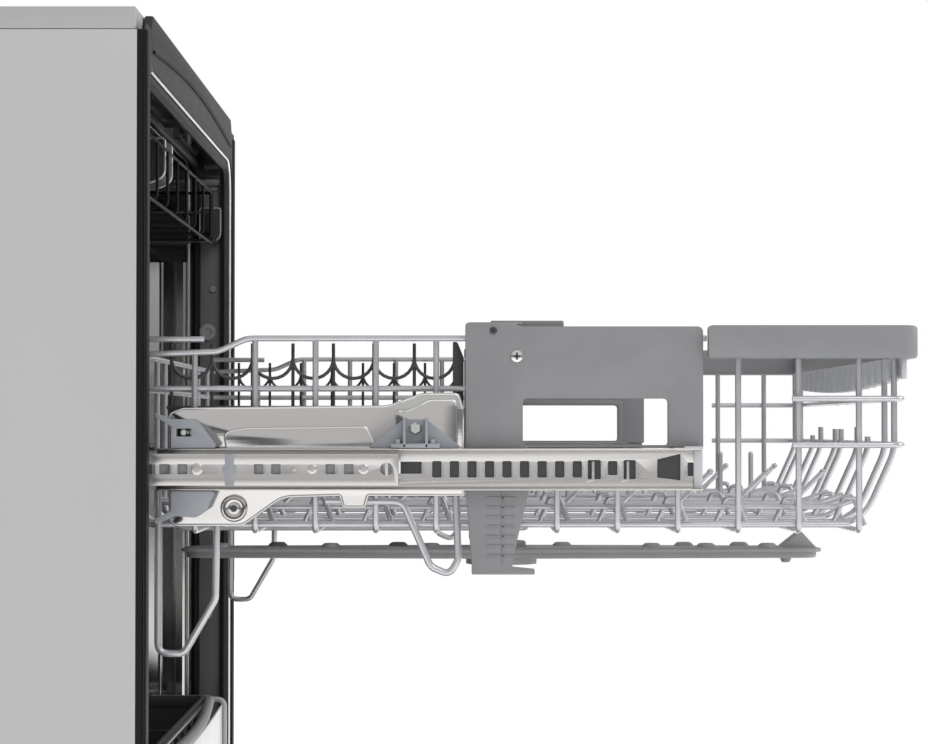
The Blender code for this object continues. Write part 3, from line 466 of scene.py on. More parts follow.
def hoop(half, y0, y1, z, radius=0.0):
    """A closed wire round a rack."""
    loop = [(x, y, z) for x, y in rectangle(-half, half, y0, y1)]
    if radius:
        loop = rounded(loop, radius)
    return loop + loop[:1]


def wires(name, routes, radius, material, body, node=None, resolution=3):
    """Round wires along routes of (x, y, z) points, as one curve."""
    curve = bpy.data.curves.new(name, "CURVE")
    curve.dimensions = "3D"
    curve.bevel_depth = radius
    curve.bevel_resolution = resolution
    curve.use_fill_caps = True
    for route in routes:
        closed = route[0] == route[-1]
        points = route[:-1] if closed else route
        spline = curve.splines.new("POLY")
        spline.points.add(len(points) - 1)
        for knot, point in zip(spline.points, points):
            knot.co = (*point, 1)
        spline.use_cyclic_u = closed
    return finish_piece(name, curve, material, body, node)


def round_tip(point, radius):
    """The half-ball on a wire's free end."""
    shape = bmesh.new()
    bmesh.ops.create_uvsphere(shape, u_segments=12, v_segments=6, radius=radius,
        matrix=Matrix.Translation(point))
    return to_mesh(shape)


# ---- upper rack

def side_wire_places():
    return [-0.45 + SIDE_PITCH * step for step in range(12)]


def tall_wire(x, front, rear, foot, tops):
    """One of the upper rack's wires that run up the front, over the floor and up the back."""
    return [(x, front, tops[0]), (x, front, 0.584), (x, front + 0.021, foot), (x, rear, foot),
        (x, rear, tops[1])]


def make_upper_rack():
    rear = RACK_REAR
    front = RACK_FRONT + TRIM_THICK + 0.0025
    half = RACK_HALF - 0.0002
    low = FLOOR_Z + 0.0003
    floor = low + 2 * WIRE
    long_wire, side_heights = 0.624, (0.6175, 0.588)
    wall_top = 0.643
    back_top = RIM_Z - 0.0105
    routes = []
    for y in side_wire_places():
        top = RIM_Z if y < -0.058 else RIM_Z - 0.009
        if PLAIN_SPAN[0] < y < PLAIN_SPAN[1]:
            top = 0.583
        if y < PLAIN_SPAN[0]:
            top = wall_top
        routes.append(cradle(y, half, half, top, low, 0.006))
    for sign in SIDES.values():
        x = sign * (half - 2 * WIRE)
        routes.append([(x, -0.199, long_wire), (x, rear, long_wire)])
        routes.append([(x, front + 0.03, floor), (x, rear - 0.01, floor)])
        edge = sign * (half + 0.0002)
        routes.append(rounded([(edge, -0.353, RIM_Z), (edge, -0.06, RIM_Z), (edge, -0.041, RIM_Z - 0.0085),
            (edge, rear, back_top)], 0.02, False))
        routes.append([(sign * (half - 0.004), y, RIM_Z - 0.0005) for y in (-0.032, rear)])
        out = sign * (half + 2 * WIRE)
        for z in side_heights:
            routes.append(rounded([(out, -0.407, z), (out, front - 2 * WIRE, z),
                (sign * 0.02, front - 2 * WIRE, z)], 0.014, False, 8))
    for x, top in ((0.236, wall_top), (0.2, wall_top), (0.132, 0.593), (0.088, 0.5995), (0.014, 0.598)):
        for sign in SIDES.values():
            section = tall_wire(sign * x, front, rear, floor, (top, back_top))
            if x < 0.05:
                section = section[:3] + [(sign * x, -0.4135, floor)]
            routes.append(rounded(section, mm(0, 30, 28, 10, 0)[:len(section)], False))
    for z in (back_top, long_wire, 0.58):
        routes.append([(-half, rear, z), (half, rear, z)])
    for z in side_heights:
        routes.append([(-0.03, front - 2 * WIRE, z), (0.03, front - 2 * WIRE, z)])
    wires("upper_rack_wires", routes, WIRE, "wire", "upper_rack", "upper_rack")
    make_rack_floor(low)
    make_rack_loops()


def make_rack_floor(low):
    """The raised grid, its A-shaped feet, and the slanted tines that hold cups off the floor."""
    routes = []
    tips = []
    z = low + 0.014
    for x in mm(-205, -170, -130, -60, 60, 130, 170, 205):
        routes.append(rounded([(x, -0.458, z + 0.006), (x, -0.44, z), (x, -0.02, z), (x, 0.004, z + 0.004)],
            0.01, False))
    for y in side_wire_places():
        for x in mm(-205, -110, 110, 205):
            foot = [(x + 0.004, y + 0.01, low + 0.002), (x + 0.001, y + 0.003, z + 0.006),
                (x - 0.001, y - 0.003, z + 0.006), (x - 0.004, y - 0.01, low + 0.002)]
            routes.append(rounded(foot, 0.003, False))
    for x in (-0.13, 0.13):
        for step in range(11):
            y = -0.425 + SIDE_PITCH * step
            end = (x, y - 0.019, z + 0.0215)
            routes.append([(x, y + 0.004, z - 0.001), end])
            tips.append(round_tip(end, WIRE * 1.15))
    wires("upper_rack_floor_grid", routes, WIRE * 0.9, "wire", "upper_rack")
    finish_piece("upper_rack_tine_tips", tips, "wire", "upper_rack")


def make_rack_loops():
    """The thick hangers under both sides that ride on the lower edge of the side plates."""
    routes = []
    z = FLOOR_Z
    for sign in SIDES.values():
        x = sign * (RACK_HALF + 0.0005)
        front = [(x, -0.11, z + 0.0195), (x, -0.159, z + 0.019), (x, -0.177, z - 0.0225),
            (x, -0.189, z - 0.0276), (x, -0.1945, z - 0.018), (x, -0.1925, z + 0.04)]
        routes.append(rounded(front, mm(0, 9, 8, 6, 6, 0), False))
        rear = [(x, -0.0035, z + 0.03), (x, -0.0035, z - 0.0775), (x, -0.02, z - 0.0775),
            (x, -0.04, z - 0.043), (x, -0.041, z + 0.02)]
        routes.append(rounded(rear, mm(0, 7, 7, 12, 0), False))
    wires("upper_rack_hangers", routes, 0.0023, "wire", "upper_rack", resolution=4)


def make_front_trim():
    """The grip moulded round the rack's front, with finger flutes under its edge."""
    low, high = ends("rack_front_trim")
    outer = high.x
    front = RACK_FRONT
    back = high.y
    bend = TRIM_THICK + 0.002
    inner = outer - TRIM_THICK
    corner = front + bend
    outline = [(-outer, back), *arc((-outer + bend, corner), bend, 180, 270, 8),
        *arc((outer - bend, corner), bend, 270, 360, 8), (outer, back), (inner, back),
        *arc((outer - bend, corner), bend - TRIM_THICK, 360, 270, 4), *arc((-outer + bend, corner),
        bend - TRIM_THICK, 270, 180, 4), (-inner, back)]
    body = plate(outline, high.z - low.z, level_plane((low.z + high.z) / 2), edge=0.0022)
    finish_piece("rack_front_trim_shell", body, "grey", "upper_rack", "rack_front_trim")
    skirt_top = low.z + 0.001
    flutes = []
    count = 17
    span = 2 * (outer - 0.02)
    for step in range(count):
        x = -outer + 0.02 + span * (step + 0.5) / count
        depth = 0.013 + 0.006 * math.sin(math.pi * (step + 0.5) / count)
        flutes.append(rod((x, front + 0.0086, skirt_top), (x, front + 0.0086, skirt_top - depth), 0.0058,
            24, 0.0012))
    backing = box((-outer + 0.018, front + 0.0078, low.z - 0.012),
        (outer - 0.018, front + 0.009, skirt_top), 0.0004)
    finish_piece("rack_front_trim_flutes", [backing, *flutes], "light", "upper_rack")


def make_adjusters():
    """The height adjusters: bevelled frames with a grip window, guide ribs and two screws."""
    for side, sign in SIDES.items():
        low, high = ends(f"height_adjuster_{side}")
        middle = (low.x + high.x) / 2
        thick = high.x - low.x
        back, front, top = high.y, low.y, high.z
        outline = rounded([(back, top), (back - 0.03, top), (back - 0.036, top - 0.0026),
            (front, top - 0.0026), (front, 0.5862), (back - 0.0405, 0.5862), (back - 0.0405, 0.56),
            (back - 0.029, low.z + 0.005), (back - 0.044, low.z + 0.0035), (back - 0.044, low.z),
            (back - 0.004, low.z), (back - 0.004, low.z + 0.007), (back, 0.56)],
            mm(3, 4, 4, 4, 1, 1, 1, 2, 1, 1, 1, 1, 2))
        window = rounded(rectangle(-0.3275, -0.2355, 0.5875, 0.6175), 0.003)
        parts = [plate(outline, thick, side_plane(middle), [window], 0.001)]
        face = sign * max(abs(low.x), abs(high.x))
        inside, proud = face - sign * 0.0012, face + sign * 0.0006
        for step in range(7):
            z = 0.5547 - 0.0061 * step
            parts.append(box_between(inside, proud, -0.2305, -0.2125, z - 0.0005, z + 0.0005))
        parts.append(box_between(inside, proud, -0.2233, -0.2223, 0.512, 0.5595))
        finish_piece(f"height_adjuster_{side}_shell", parts, "grey", "upper_rack",
            f"height_adjuster_{side}")
        make_window_lip(side, sign, middle, thick)
        make_screw(f"adjuster_screw_{side}", (face, -0.2317, 0.6444), sign, 0.0043, "screw")
        make_screw(f"adjuster_pin_{side}", (face, -0.2168, 0.6607), sign, 0.0023, "dark")
        tab = box_between(face - sign * 0.0055, face, back - 0.036, back - 0.018, top - 0.0012,
            top + 0.0002, 0.0005)
        finish_piece(f"adjuster_tab_{side}", tab, "grey", "upper_rack")
        lever = f"adjuster_lever_{side}"
        finish_piece(f"{lever}_shell", box(*ends(lever), 0.0012, 3), "grey", lever, lever)


def box_between(x0, x1, y0, y1, z0, z1, bevel=0.0):
    xs = sorted((x0, x1))
    return box((xs[0], y0, z0), (xs[1], y1, z1), bevel)


def make_window_lip(side, sign, middle, thick):
    """The raised bevelled border round the grip window."""
    outer = rounded(rectangle(-0.332, -0.2325, 0.5866, 0.6222), 0.004)
    inner = rounded(rectangle(-0.3283, -0.2348, 0.588, 0.6182), 0.003)
    lip = plate(outer, 0.001, side_plane(middle - sign * (thick / 2)), [inner], 0.0004)
    finish_piece(f"adjuster_window_lip_{side}", lip, "grey", "upper_rack")


def make_screw(name, place, sign, radius, material):
    """A pan-head screw with a cross recess, facing out."""
    head = turned([(radius, -0.0002), (radius, 0.0003), (radius * 0.86, 0.001), (radius * 0.45, 0.0013),
        (radius * 0.42, 0.0004)], facing(place, sign), 28)
    finish_piece(name, head, material, "upper_rack")
    x, y, z = place
    long, short = radius * 0.55, radius * 0.13
    # The cross recess is filled with dark plastic: painted shade inside the metal screw's recess.
    arms = [box_between(x + sign * 0.0003, x + sign * 0.00145, y - dy, y + dy, z - dz, z + dz) for dy,
        dz in ((long, short), (short, long))]
    finish_piece(f"{name}_recess_painted_shade", arms, "dark", "upper_rack")


def make_side_plates():
    for side, sign in SIDES.items():
        x = sign * (PLATE_X + 0.0005)
        outline = corners((-11.5, 608, 4), (-20, 611, 4), (-150, 612.5, 20), (-172, 620.5, 20),
            (-194.5, 620.5, 4), (-197.5, 611, 3), (-197.5, 556.5, 0), (-137, 556.5, 2), (-135, 549, 2),
            (-122, 549, 2), (-120, 556.5, 2), (-83, 555.5, 20), (-58, 537.5, 12), (-12, 537.5, 6))
        sheet = plate(outline, 0.001, side_plane(x), edge=0.0003)
        face = x + sign * 0.0005
        ridge = corners((-48, 586.2, 1), (-46, 596, 6), (-60, 598.5, 6), (-136, 599.5, 4), (-141, 590, 4),
            (-141, 586.2, 1))
        raised = plate(ridge, 0.0012, side_plane(face), edge=0.0005)
        corner = corners((-193.5, 588, 1), (-193.5, 616.5, 4), (-176, 616.5, 12), (-163, 609.5, 12),
            (-155, 609.5, 3), (-155, 588, 1))
        corner_plate = plate(corner, 0.001, side_plane(face), edge=0.0004)
        node = f"side_plate_{side}"
        finish_piece(f"{node}_sheet", [sheet, raised, corner_plate], "polished", "rail_carriage", node)
        beads = [at_x(face, loop) for loop in (ridge, corner, outline)]
        wires(f"{node}_beads", beads, 0.0008, "polished", "rail_carriage")
        make_rail_brackets(side, sign, face)
        make_roller(side, sign, face)


def make_rail_brackets(side, sign, face):
    """The plastic brackets over and under the rail: a wrapping one at the back, a gabled one in front."""
    reach = sign * (RAIL_X + 0.0095)
    mid = (face + reach) / 2
    thick = abs(reach - face)
    rail_top = RAIL_Z + 0.01355
    rail_low = RAIL_Z - 0.01355
    upper = rounded([(-0.0035, 0.6085), (-0.013, 0.6045), (-0.029, 0.6045), (-0.0335, 0.599),
        (-0.0415, 0.5885), (-0.0415, rail_top), (-0.0135, rail_top), (-0.0135, 0.6), (-0.0035, 0.606)],
        0.0015)
    slot = rounded(rectangle(-0.0265, -0.017, 0.5935, 0.5985), 0.001)
    lower = rounded([(-0.0135, rail_low), (-0.0415, rail_low)] + mm((-36, 547.5), (-29, 542.5),
        (-16, 543.5), (-3.5, 538), (-3.5, 541.5), (-13.5, 546.5)), 0.0015)
    gable = [(-0.1955, rail_top), (-0.1955, rail_top + 0.0012), (-0.1745, 0.6045), (-0.16, 0.6045),
        (-0.1385, rail_top + 0.0012), (-0.1385, rail_top)]
    thin = 0.0022
    pieces = [plate(upper, thick, side_plane(mid), [slot], 0.0005), plate(lower, thick, side_plane(mid),
        edge=0.0005), plate(gable, thin, side_plane(face + sign * thin / 2), edge=0.0004)]
    for y in (-0.1605, -0.1745):
        pieces.append(box_between(face, reach, y - 0.0008, y + 0.0008, rail_top, 0.6055, 0.0003))
    pieces.append(box_between(face, reach, -0.183, -0.152, rail_top, rail_top + 0.0028, 0.0005))
    for y in (-0.1565, -0.1785):
        pieces.append(box_between(face, reach - sign * 0.001, y - 0.0014, y + 0.0014, rail_top,
            rail_top + 0.0055, 0.0004))
    finish_piece(f"rail_brackets_{side}", pieces, "bracket", "rail_carriage")
    turn = facing((face, -0.1675, 0.5985), sign)
    bolt = turned(mm((5.8, 0), (5.8, 1.4), (5, 2), (4.2, 2.2), (4, 4.8), (3.2, 5.6)), turn, 6)
    washer = turned(mm((6.2, 0), (6.2, 1), (5.5, 1.3)), turn, 32)
    finish_piece(f"bracket_bolt_{side}", [bolt, washer], "screw", "rail_carriage", smooth=25)
    pin = turned(mm((2.2, 0), (2.2, 7.5), (1.6, 8.2)), facing((face, -0.0215, 0.596), sign), 20)
    finish_piece(f"bracket_rivet_{side}", pin, "screw", "rail_carriage")


def make_roller(side, sign, face):
    turn = facing((face, -0.0527, 0.548), sign)
    cup = turned(mm((8.7, -0.4), (8.7, 0.8), (7.6, 2.4), (6.8, 2.6), (5.5, 1), (4, 0.8), (3.6, 3),
        (2.2, 3.2)), turn)
    finish_piece(f"side_plate_boss_{side}", cup, "polished", "rail_carriage")
    core = turned(mm((2.2, 0.6), (2.2, 3.4), (1.4, 3.5)), turn, 20)
    finish_piece(f"side_plate_boss_core_{side}", core, "dark", "rail_carriage")


# ---- rails

def channel_rail(low, high, web_x, lip_x, holes, sign, wall=0.0011):
    """A rolled rail: a punched web with a lip along each edge."""
    half = (high.z - low.z) / 2
    outline = rectangle(low.y, high.y, RAIL_Z - half, RAIL_Z + half)
    parts = [plate(outline, wall, side_plane(sign * web_x), holes, 0.0002)]
    for edge in (-1, 1):
        z = RAIL_Z + edge * (half - wall / 2)
        parts.append(box_between(sign * web_x, sign * lip_x, low.y, high.y, z - wall / 2, z + wall / 2,
            0.0004))
    return parts


def square_hole(y, width, height, z=0.0, corner=0.0008):
    return rounded(rectangle(y - width / 2, y + width / 2, RAIL_Z + z - height / 2,
        RAIL_Z + z + height / 2), corner, steps=3)


def make_rack_rail(side, sign):
    node = f"rack_rail_{side}"
    low, high = ends(node)
    near = min(abs(low.x), abs(high.x)) + 0.00055
    far = max(abs(low.x), abs(high.x))
    pitch = 0.0111
    holes = [square_hole(-0.181 - pitch * step, 0.0057, 0.0103) for step in range(9)]
    for hole in mm((-292.2, 5.7, 8.8, 0.8), (-280.6, 8, 12, -0.2), (-303, 7.5, 12, -0.2),
            (-164, 14.5, 7.5, 1, 0.4)):
        holes.append(square_hole(*hole))
    holes.append([(-0.3205, RAIL_Z + 0.0062), (-0.3205, RAIL_Z - 0.0052), (-0.335, RAIL_Z - 0.007),
        (-0.335, RAIL_Z + 0.0098)])
    holes.append(square_hole(-0.3415, 0.0035, 0.0085, 0.0, 0.0003))
    parts = channel_rail(low, high, near, far, holes, sign)
    for y in (-0.2795, -0.3015):
        tongue = [(y + dy, RAIL_Z + dz) for dy, dz in mm((-1.2, 5), (-1.2, -7.5), (4.5, -8.5), (4.5, -6.8),
            (0.6, -6), (0.6, 5))]
        parts.append(plate(rounded(tongue, 0.0006), 0.001, side_plane(sign * (near + 0.0008)), edge=0.0002))
    finish_piece(f"{node}_member", parts, "rail", "rail_carriage", node, 30)
    # A dark sheet just inside the rail's punched web: painted shadow seen through its slots, not a part of
    # the rail.
    shadow = box_between(sign * (near - 0.0008), sign * (near - 0.0014), -0.345, -0.158, RAIL_Z - 0.01,
        RAIL_Z + 0.0105)
    finish_piece(f"{node}_painted_shadow_sheet", shadow, "dark", "rail_carriage")
    cap = plate(rounded(rectangle(low.y, low.y + 0.0055, RAIL_Z - 0.012, RAIL_Z + 0.012), 0.001), 0.0012,
        side_plane(sign * (near + 0.0018)), edge=0.0003)
    nib = plate(rounded(rectangle(low.y, low.y + 0.012, RAIL_Z + 0.0131, RAIL_Z + 0.0146), 0.0006), 0.007,
        side_plane(sign * (near + 0.0042)), edge=0.0005)
    finish_piece(f"rack_rail_cap_{side}", [cap, nib], "light", "rail_carriage")


def make_middle_rail(side, sign):
    node = f"middle_rail_{side}"
    low, high = ends(node)
    web = max(abs(low.x), abs(high.x)) - 0.00055
    lip = min(abs(low.x), abs(high.x))
    squares = (0.0013, -0.0101, -0.0215, -0.0694, -0.0802, -0.1143, -0.1259)
    holes = [square_hole(y, 0.0058, 0.0063, 0.0003, 0.0005) for y in squares]
    holes.append(arc((-0.1496, RAIL_Z + 0.0003), 0.0041, 0, 330, 11))
    finish_piece(f"{node}_member", channel_rail(low, high, web, lip, holes, sign), "rail", "middle_rails",
        node, 30)
    lining = box_between(sign * (web - 0.004), sign * (web - 0.0048), low.y + 0.01, high.y - 0.01,
        RAIL_Z - 0.007, RAIL_Z + 0.007)
    finish_piece(f"{node}_ball_cage", lining, "light", "middle_rails")
    face = sign * (web + 0.00055)
    dimples = []
    for y, radius in mm((-30.6, 3.7), (-102.9, 3), (-135.1, 3.2), (-91.5, 1.6)):
        dimples.append(turned([(radius, -0.0002), (radius, 0.0001), (radius * 0.85, 0.0004),
            (radius * 0.5, 0.00045)], facing((face, y, RAIL_Z + 0.0003), sign), 28))
    slot = box_between(face - sign * 0.0004, face + sign * 0.0002, -0.1505, -0.1487, RAIL_Z - 0.004,
        RAIL_Z + 0.0045)
    finish_piece(f"middle_rail_rivets_{side}", dimples, "rail", "middle_rails")
    finish_piece(f"middle_rail_slot_{side}", slot, "light", "middle_rails")
    half = (high.z - low.z) / 2
    bump = [(-0.054, RAIL_Z - half), (-0.054, RAIL_Z - half + 0.0035),
        *arc((-0.0511, RAIL_Z), 0.0046, 235, 125, 6), (-0.054, RAIL_Z + half - 0.0035),
        (-0.054, RAIL_Z + half), (-0.0482, RAIL_Z + half), (-0.0482, RAIL_Z + half - 0.0035),
        *arc((-0.0511, RAIL_Z), 0.0046, 55, -55, 6), (-0.0482, RAIL_Z - half + 0.0035),
        (-0.0482, RAIL_Z - half)]
    clip = plate(bump, 0.001, side_plane(face - sign * 0.0001), edge=0.0002)
    finish_piece(f"middle_rail_clip_{side}", clip, "bracket", "middle_rails")


def make_rails():
    for side, sign in SIDES.items():
        make_rack_rail(side, sign)
        make_middle_rail(side, sign)
        recolour(f"fixed_rail_{side}", "rail")


def recolour(node, material):
    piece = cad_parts[node]
    for slot in piece.material_slots:
        slot.material = MATERIALS[material]
    if not piece.material_slots:
        piece.data.materials.append(MATERIALS[material])


# ---- cup shelves and tines

def make_cup_shelves():
    """Dark scalloped wire shelves, folded up against the rack's sides."""
    pitch = 0.0259
    for side, sign in SIDES.items():
        node = f"cup_shelf_{side}"
        low, high = ends(node)
        x = sign * abs(low.x + high.x) / 2
        spring = high.z - 0.0105
        routes = []
        y = high.y - 0.003
        while y > low.y + 0.002:
            routes.append([(x, y, high.z - 0.001), (x, y, low.z)])
            if y - pitch > low.y:
                cup = [(y, spring + 0.006), *arc((y - pitch / 2, spring), pitch / 2, 0, -180, 12),
                    (y - pitch, spring + 0.006)]
                routes.append([(x, a, b) for a, b in cup])
            y -= pitch
        routes.append([(x, low.y, low.z + 0.001), (x, high.y, low.z + 0.001)])
        wires(f"{node}_wires", routes, 0.0011, "dark_wire", node, node, 2)
        end = rounded([(low.y, low.z), (low.y, high.z - 0.01), (low.y + 0.004, high.z),
            (low.y + 0.007, high.z), (low.y + 0.007, low.z)], mm(0, 6, 3, 1, 0))
        finish_piece(f"{node}_end", plate(end, 0.0024, side_plane(x), edge=0.0004), "dark", node)


def make_folding_tines():
    """The middle row of tines on their rod."""
    low, high = ends("folding_tines")
    z = low.z + 0.002
    routes = [[(0, low.y, z), (0, high.y, z)]]
    tips = []
    for step in range(17):
        y = low.y + 0.02 + 0.0225 * step
        routes.append([(0, y, z), (0, y, high.z - 0.0025)])
        tips.append(round_tip((0, y, high.z - 0.0025), 0.0018))
    wires("folding_tines_wires", routes, 0.0018, "wire", "folding_tines", "folding_tines")
    finish_piece("folding_tines_tips", tips, "wire", "folding_tines")


# ---- spray arms

def make_arm(node, body, root, tip, thick, hub, nozzles, tip_fin=False):
    """A two-shell spray arm: a lower keel, a wider seam flange, hub rings and nozzle domes."""
    low, high = ends(node)
    y = (low.y + high.y) / 2
    half = (high.y - low.y) / 2
    z = frame_height(node)
    def shape(inset):
        r, t, h = root - inset, tip - inset, half - inset
        return [(-r, y), *arc((0, y - h + t), t, 180, 360, 10), (r, y), *arc((0, y + h - t), t, 0, 180, 10)]
    flange = plate(shape(0), thick * 0.34, level_plane(z + thick * 0.1), edge=thick * 0.1)
    keel = plate(shape(0.0035), thick, level_plane(z - thick * 0.1), edge=thick * 0.18)
    pieces = [flange, keel]
    for radius, z0, z1 in hub:
        pieces.append(turned([(radius, z0), (radius, z1 - 0.0008), (radius - 0.0008, z1)],
            Matrix.Translation((0, y, 0)), 40))
    for step, (place, lift) in enumerate(nozzles):
        side = 0.0 if abs(place) > half - 0.03 else (0.008 if step % 2 else -0.008)
        dome = turned([(0.0075, 0), (0.0068, lift * 0.6), (0.0048, lift), (0.0022, lift),
            (0.0018, lift * 0.7)], Matrix.Translation((side, y + place, z + thick * 0.24)), 24)
        pieces.append(dome)
    if tip_fin:
        fin = plate([(y - half + 0.002, z), (y - half + 0.016, z + 0.015), (y - half + 0.03, z + 0.004),
            (y - half + 0.032, z)], 0.018, side_plane(0), edge=0.0012)
        low_nozzle = turned([(0.004, 0), (0.004, 0.0025), (0.0028, 0.0045)],
            Matrix.Translation((0, y - half + 0.026, z - 0.004)) @ Matrix.Rotation(math.pi, 4, "X"), 20)
        pieces += [fin, low_nozzle]
    finish_piece(f"{node}_shell", pieces, "arm", body, node)


def frame_height(node):
    heights = {"middle_spray_arm": 0.5085, "lower_spray_arm": TUB_FLOOR + 0.034,
        "top_spray_arm": TUB_TOP - 0.0163}
    return heights[node]


def make_arms():
    z = frame_height("middle_spray_arm")
    places = [0.205, 0.165, 0.125, 0.076, 0.0515, -0.045, -0.11, -0.135, -0.15, -0.176, -0.195]
    make_arm("middle_spray_arm", "middle_spray_arm", 0.03, 0.017, 0.008, [(0.026, z - 0.0093, z + 0.001),
        (0.018, z, z + 0.0073)], [(place, 0.004) for place in places], True)
    z = frame_height("lower_spray_arm")
    make_arm("lower_spray_arm", "lower_spray_arm", 0.032, 0.019, 0.009, [(0.028, z - 0.0175, z + 0.001),
        (0.022, z, z + 0.0065)], [(place, 0.004) for place in (-0.19, -0.15, -0.11, -0.07, 0.07, 0.11, 0.15,
        0.19)])
    z = frame_height("top_spray_arm")
    make_arm("top_spray_arm", "top_spray_arm", 0.018, 0.01, 0.005, [(0.016, z - 0.0045, z + 0.0055)],
        [(place, -0.0004) for place in (-0.07, 0.07)])
    low, high = ends("rack_feed_duct")
    duct = plate(rounded(rectangle(-0.016, 0.016, ARM_Y - 0.02, high.y), 0.01), 0.0068,
        level_plane(high.z - 0.0034), edge=0.0026)
    neck = rod((0, ARM_Y, low.z + 0.002), (0, ARM_Y, high.z - 0.003), 0.0105, 28, 0.0008)
    finish_piece("rack_feed_duct_shell", [duct, neck], "light", "upper_rack", "rack_feed_duct")


# ---- casing and tub

def ring_route(half, top, low, y, corner=0.025, steps=8):
    """Up one tub wall, over the roof and down the other."""
    route = [(half, low)] + arc((half - corner, top - corner), corner, 0, 90, steps)
    route += arc((-half + corner, top - corner), corner, 90, 180, steps) + [(-half, low)]
    return [(x, y, z) for x, z in route]


def make_casing():
    back = highest("top_panel").y - FLANGE
    lid_low = lowest("top_panel").z
    lid = box((-CASE_HALF, 0.0049, lid_low), (CASE_HALF, back, CASE_TOP), 0.0012, 3)
    finish_piece("top_panel_lid", lid, "lid", "cabinet", "top_panel")
    opening = [(x, z) for x, _, z in ring_route(TUB_HALF - 0.0005, TUB_TOP - 0.0005, TUB_FLOOR + 0.003, 0)]
    outer = rectangle(-CASE_HALF + 0.0004, CASE_HALF - 0.0004, 0.101, lid_low + 0.004)
    bezel = plate(outer, 0.001, front_plane(-0.0008), [opening], 0.0003)
    finish_piece("front_bezel", bezel, "band", "cabinet")
    for sign in SIDES.values():
        post = plate(rectangle(sign * (TUB_HALF + 0.0005), sign * (CASE_HALF - 0.0003), 0.1015,
            lid_low - 0.0005), 0.0018, front_plane(-0.0014), edge=0.0005)
        finish_piece(f"front_post_{'right' if sign > 0 else 'left'}", post, "trim", "cabinet")
    wide = CASE_HALF - 0.035
    lower = [(wide * (1 - step / 12),
        TUB_TOP + 0.0115 + 0.0095 * math.cos(math.pi / 2 * (1 - step / 12))) for step in range(25)]
    strip = plate([(-wide - 0.012, CASE_TOP - 0.0145), (-wide, CASE_TOP - 0.0004),
        (wide, CASE_TOP - 0.0004), (wide + 0.012, CASE_TOP - 0.0145), *lower], 0.006, front_plane(0.0012),
        edge=0.0012)
    finish_piece("front_top_strip", strip, "band", "cabinet")
    # Black wire along the joint under the top strip's wavy edge: a real joint, blackened as the painted
    # shadow line that the strip casts.
    seam = [(x, -0.002, z - 0.0008) for x, z in lower]
    wires("front_top_seam_painted_shadow", [seam], 0.0011, "trim", "cabinet")
    # The tub's rolled rim, in the near-white lip metal that paints its edge highlight.
    wires("tub_lip", [ring_route(TUB_HALF - 0.0007, TUB_TOP - 0.0007, TUB_FLOOR + 0.004, 0.001)], 0.0013,
        "lip", "cabinet")


def make_tub_lining():
    """The neck behind the flange, its dark seal channel and the folds of the side walls."""
    low = TUB_FLOOR + 0.006
    wires("tub_channel", [ring_route(TUB_HALF - 0.003, TUB_TOP - 0.003, low, 0.0295)], 0.0034, "trim",
        "cabinet")
    # The channel's rolled edge, also in the near-white lip metal as a painted highlight.
    wires("tub_channel_edge", [ring_route(TUB_HALF - 0.0016, TUB_TOP - 0.0016, low, 0.0355)], 0.0013, "lip",
        "cabinet")
    folds = mm((36, 1), (40, 4), (45.5, 4.2), (49, 1.2), (57.2, 1), (58.8, 2.6), (60, 0.8), (61.2, 0.8),
        (74.5, 5.6), (78, 5.6), (80, 1.2), (150, 1.2), (155, 4.5), (190, 4.5), (195, 1.2), (300, 1.2),
        (305, 4.5), (340, 4.5), (345, 1.2), (500, 1.2))
    for side, sign in SIDES.items():
        wall = sign * (TUB_HALF - 0.0003)
        outline = [(wall, 0.0355), *[(wall - sign * depth, y) for y, depth in folds], (wall, 0.5)]
        lining = plate(outline, 0.54, level_plane(0.47), edge=0.0003)
        finish_piece(f"tub_wall_folds_{side}", lining, "tub_steel", "cabinet", smooth=20)
        neck = box_between(wall, wall - sign * 0.0006, 0.0065, 0.0255, low, TUB_TOP - 0.026, 0.0002)
        finish_piece(f"tub_neck_{side}", neck, "neck", "cabinet")
        bosses = []
        for y, z, radius in mm((19.5, 680, 7.3), (15, 717, 3), (19, 440, 4.5)):
            profile = [(radius, 0), (radius, 0.0012), (radius * 0.85, 0.0022), (radius * 0.5, 0.0024),
                (radius * 0.45, 0.0016)]
            bosses.append(turned(profile, facing((wall - sign * 0.0005, y, z), -sign), 32))
        finish_piece(f"tub_bosses_{side}", bosses, "arm", "cabinet")
        make_rail_cap(side, sign)


def make_rail_cap(side, sign):
    """The rounded plastic end of the top tray's rail."""
    low, high = ends(f"third_rail_{side}")
    thick = high.x - low.x - 0.0006
    outline = rounded(rectangle(0.0072, 0.0246, low.z + 0.0003, high.z + 0.0026), mm(14, 1, 2, 2))
    cap = plate(outline, thick, side_plane((low.x + high.x) / 2), edge=0.0012)
    inner = low.x if sign > 0 else high.x
    finish_piece(f"third_rail_cap_{side}", cap, "band", "cabinet")
    # Lighter plastic wire round the cap's inner outline: painted highlight along its rounded edge.
    wires(f"third_rail_cap_painted_highlight_rim_{side}", [at_x(inner + sign * 0.0007, outline)], 0.0007, "arm", "cabinet")
    ribs = [box_between(inner + sign * 0.0004, inner - sign * 0.0004, y, y + 0.0012, low.z + 0.003,
        high.z - 0.003) for y in (0.03, 0.034, 0.041, 0.06, 0.064)]
    finish_piece(f"third_rail_ribs_{side}", ribs, "band", "cabinet")


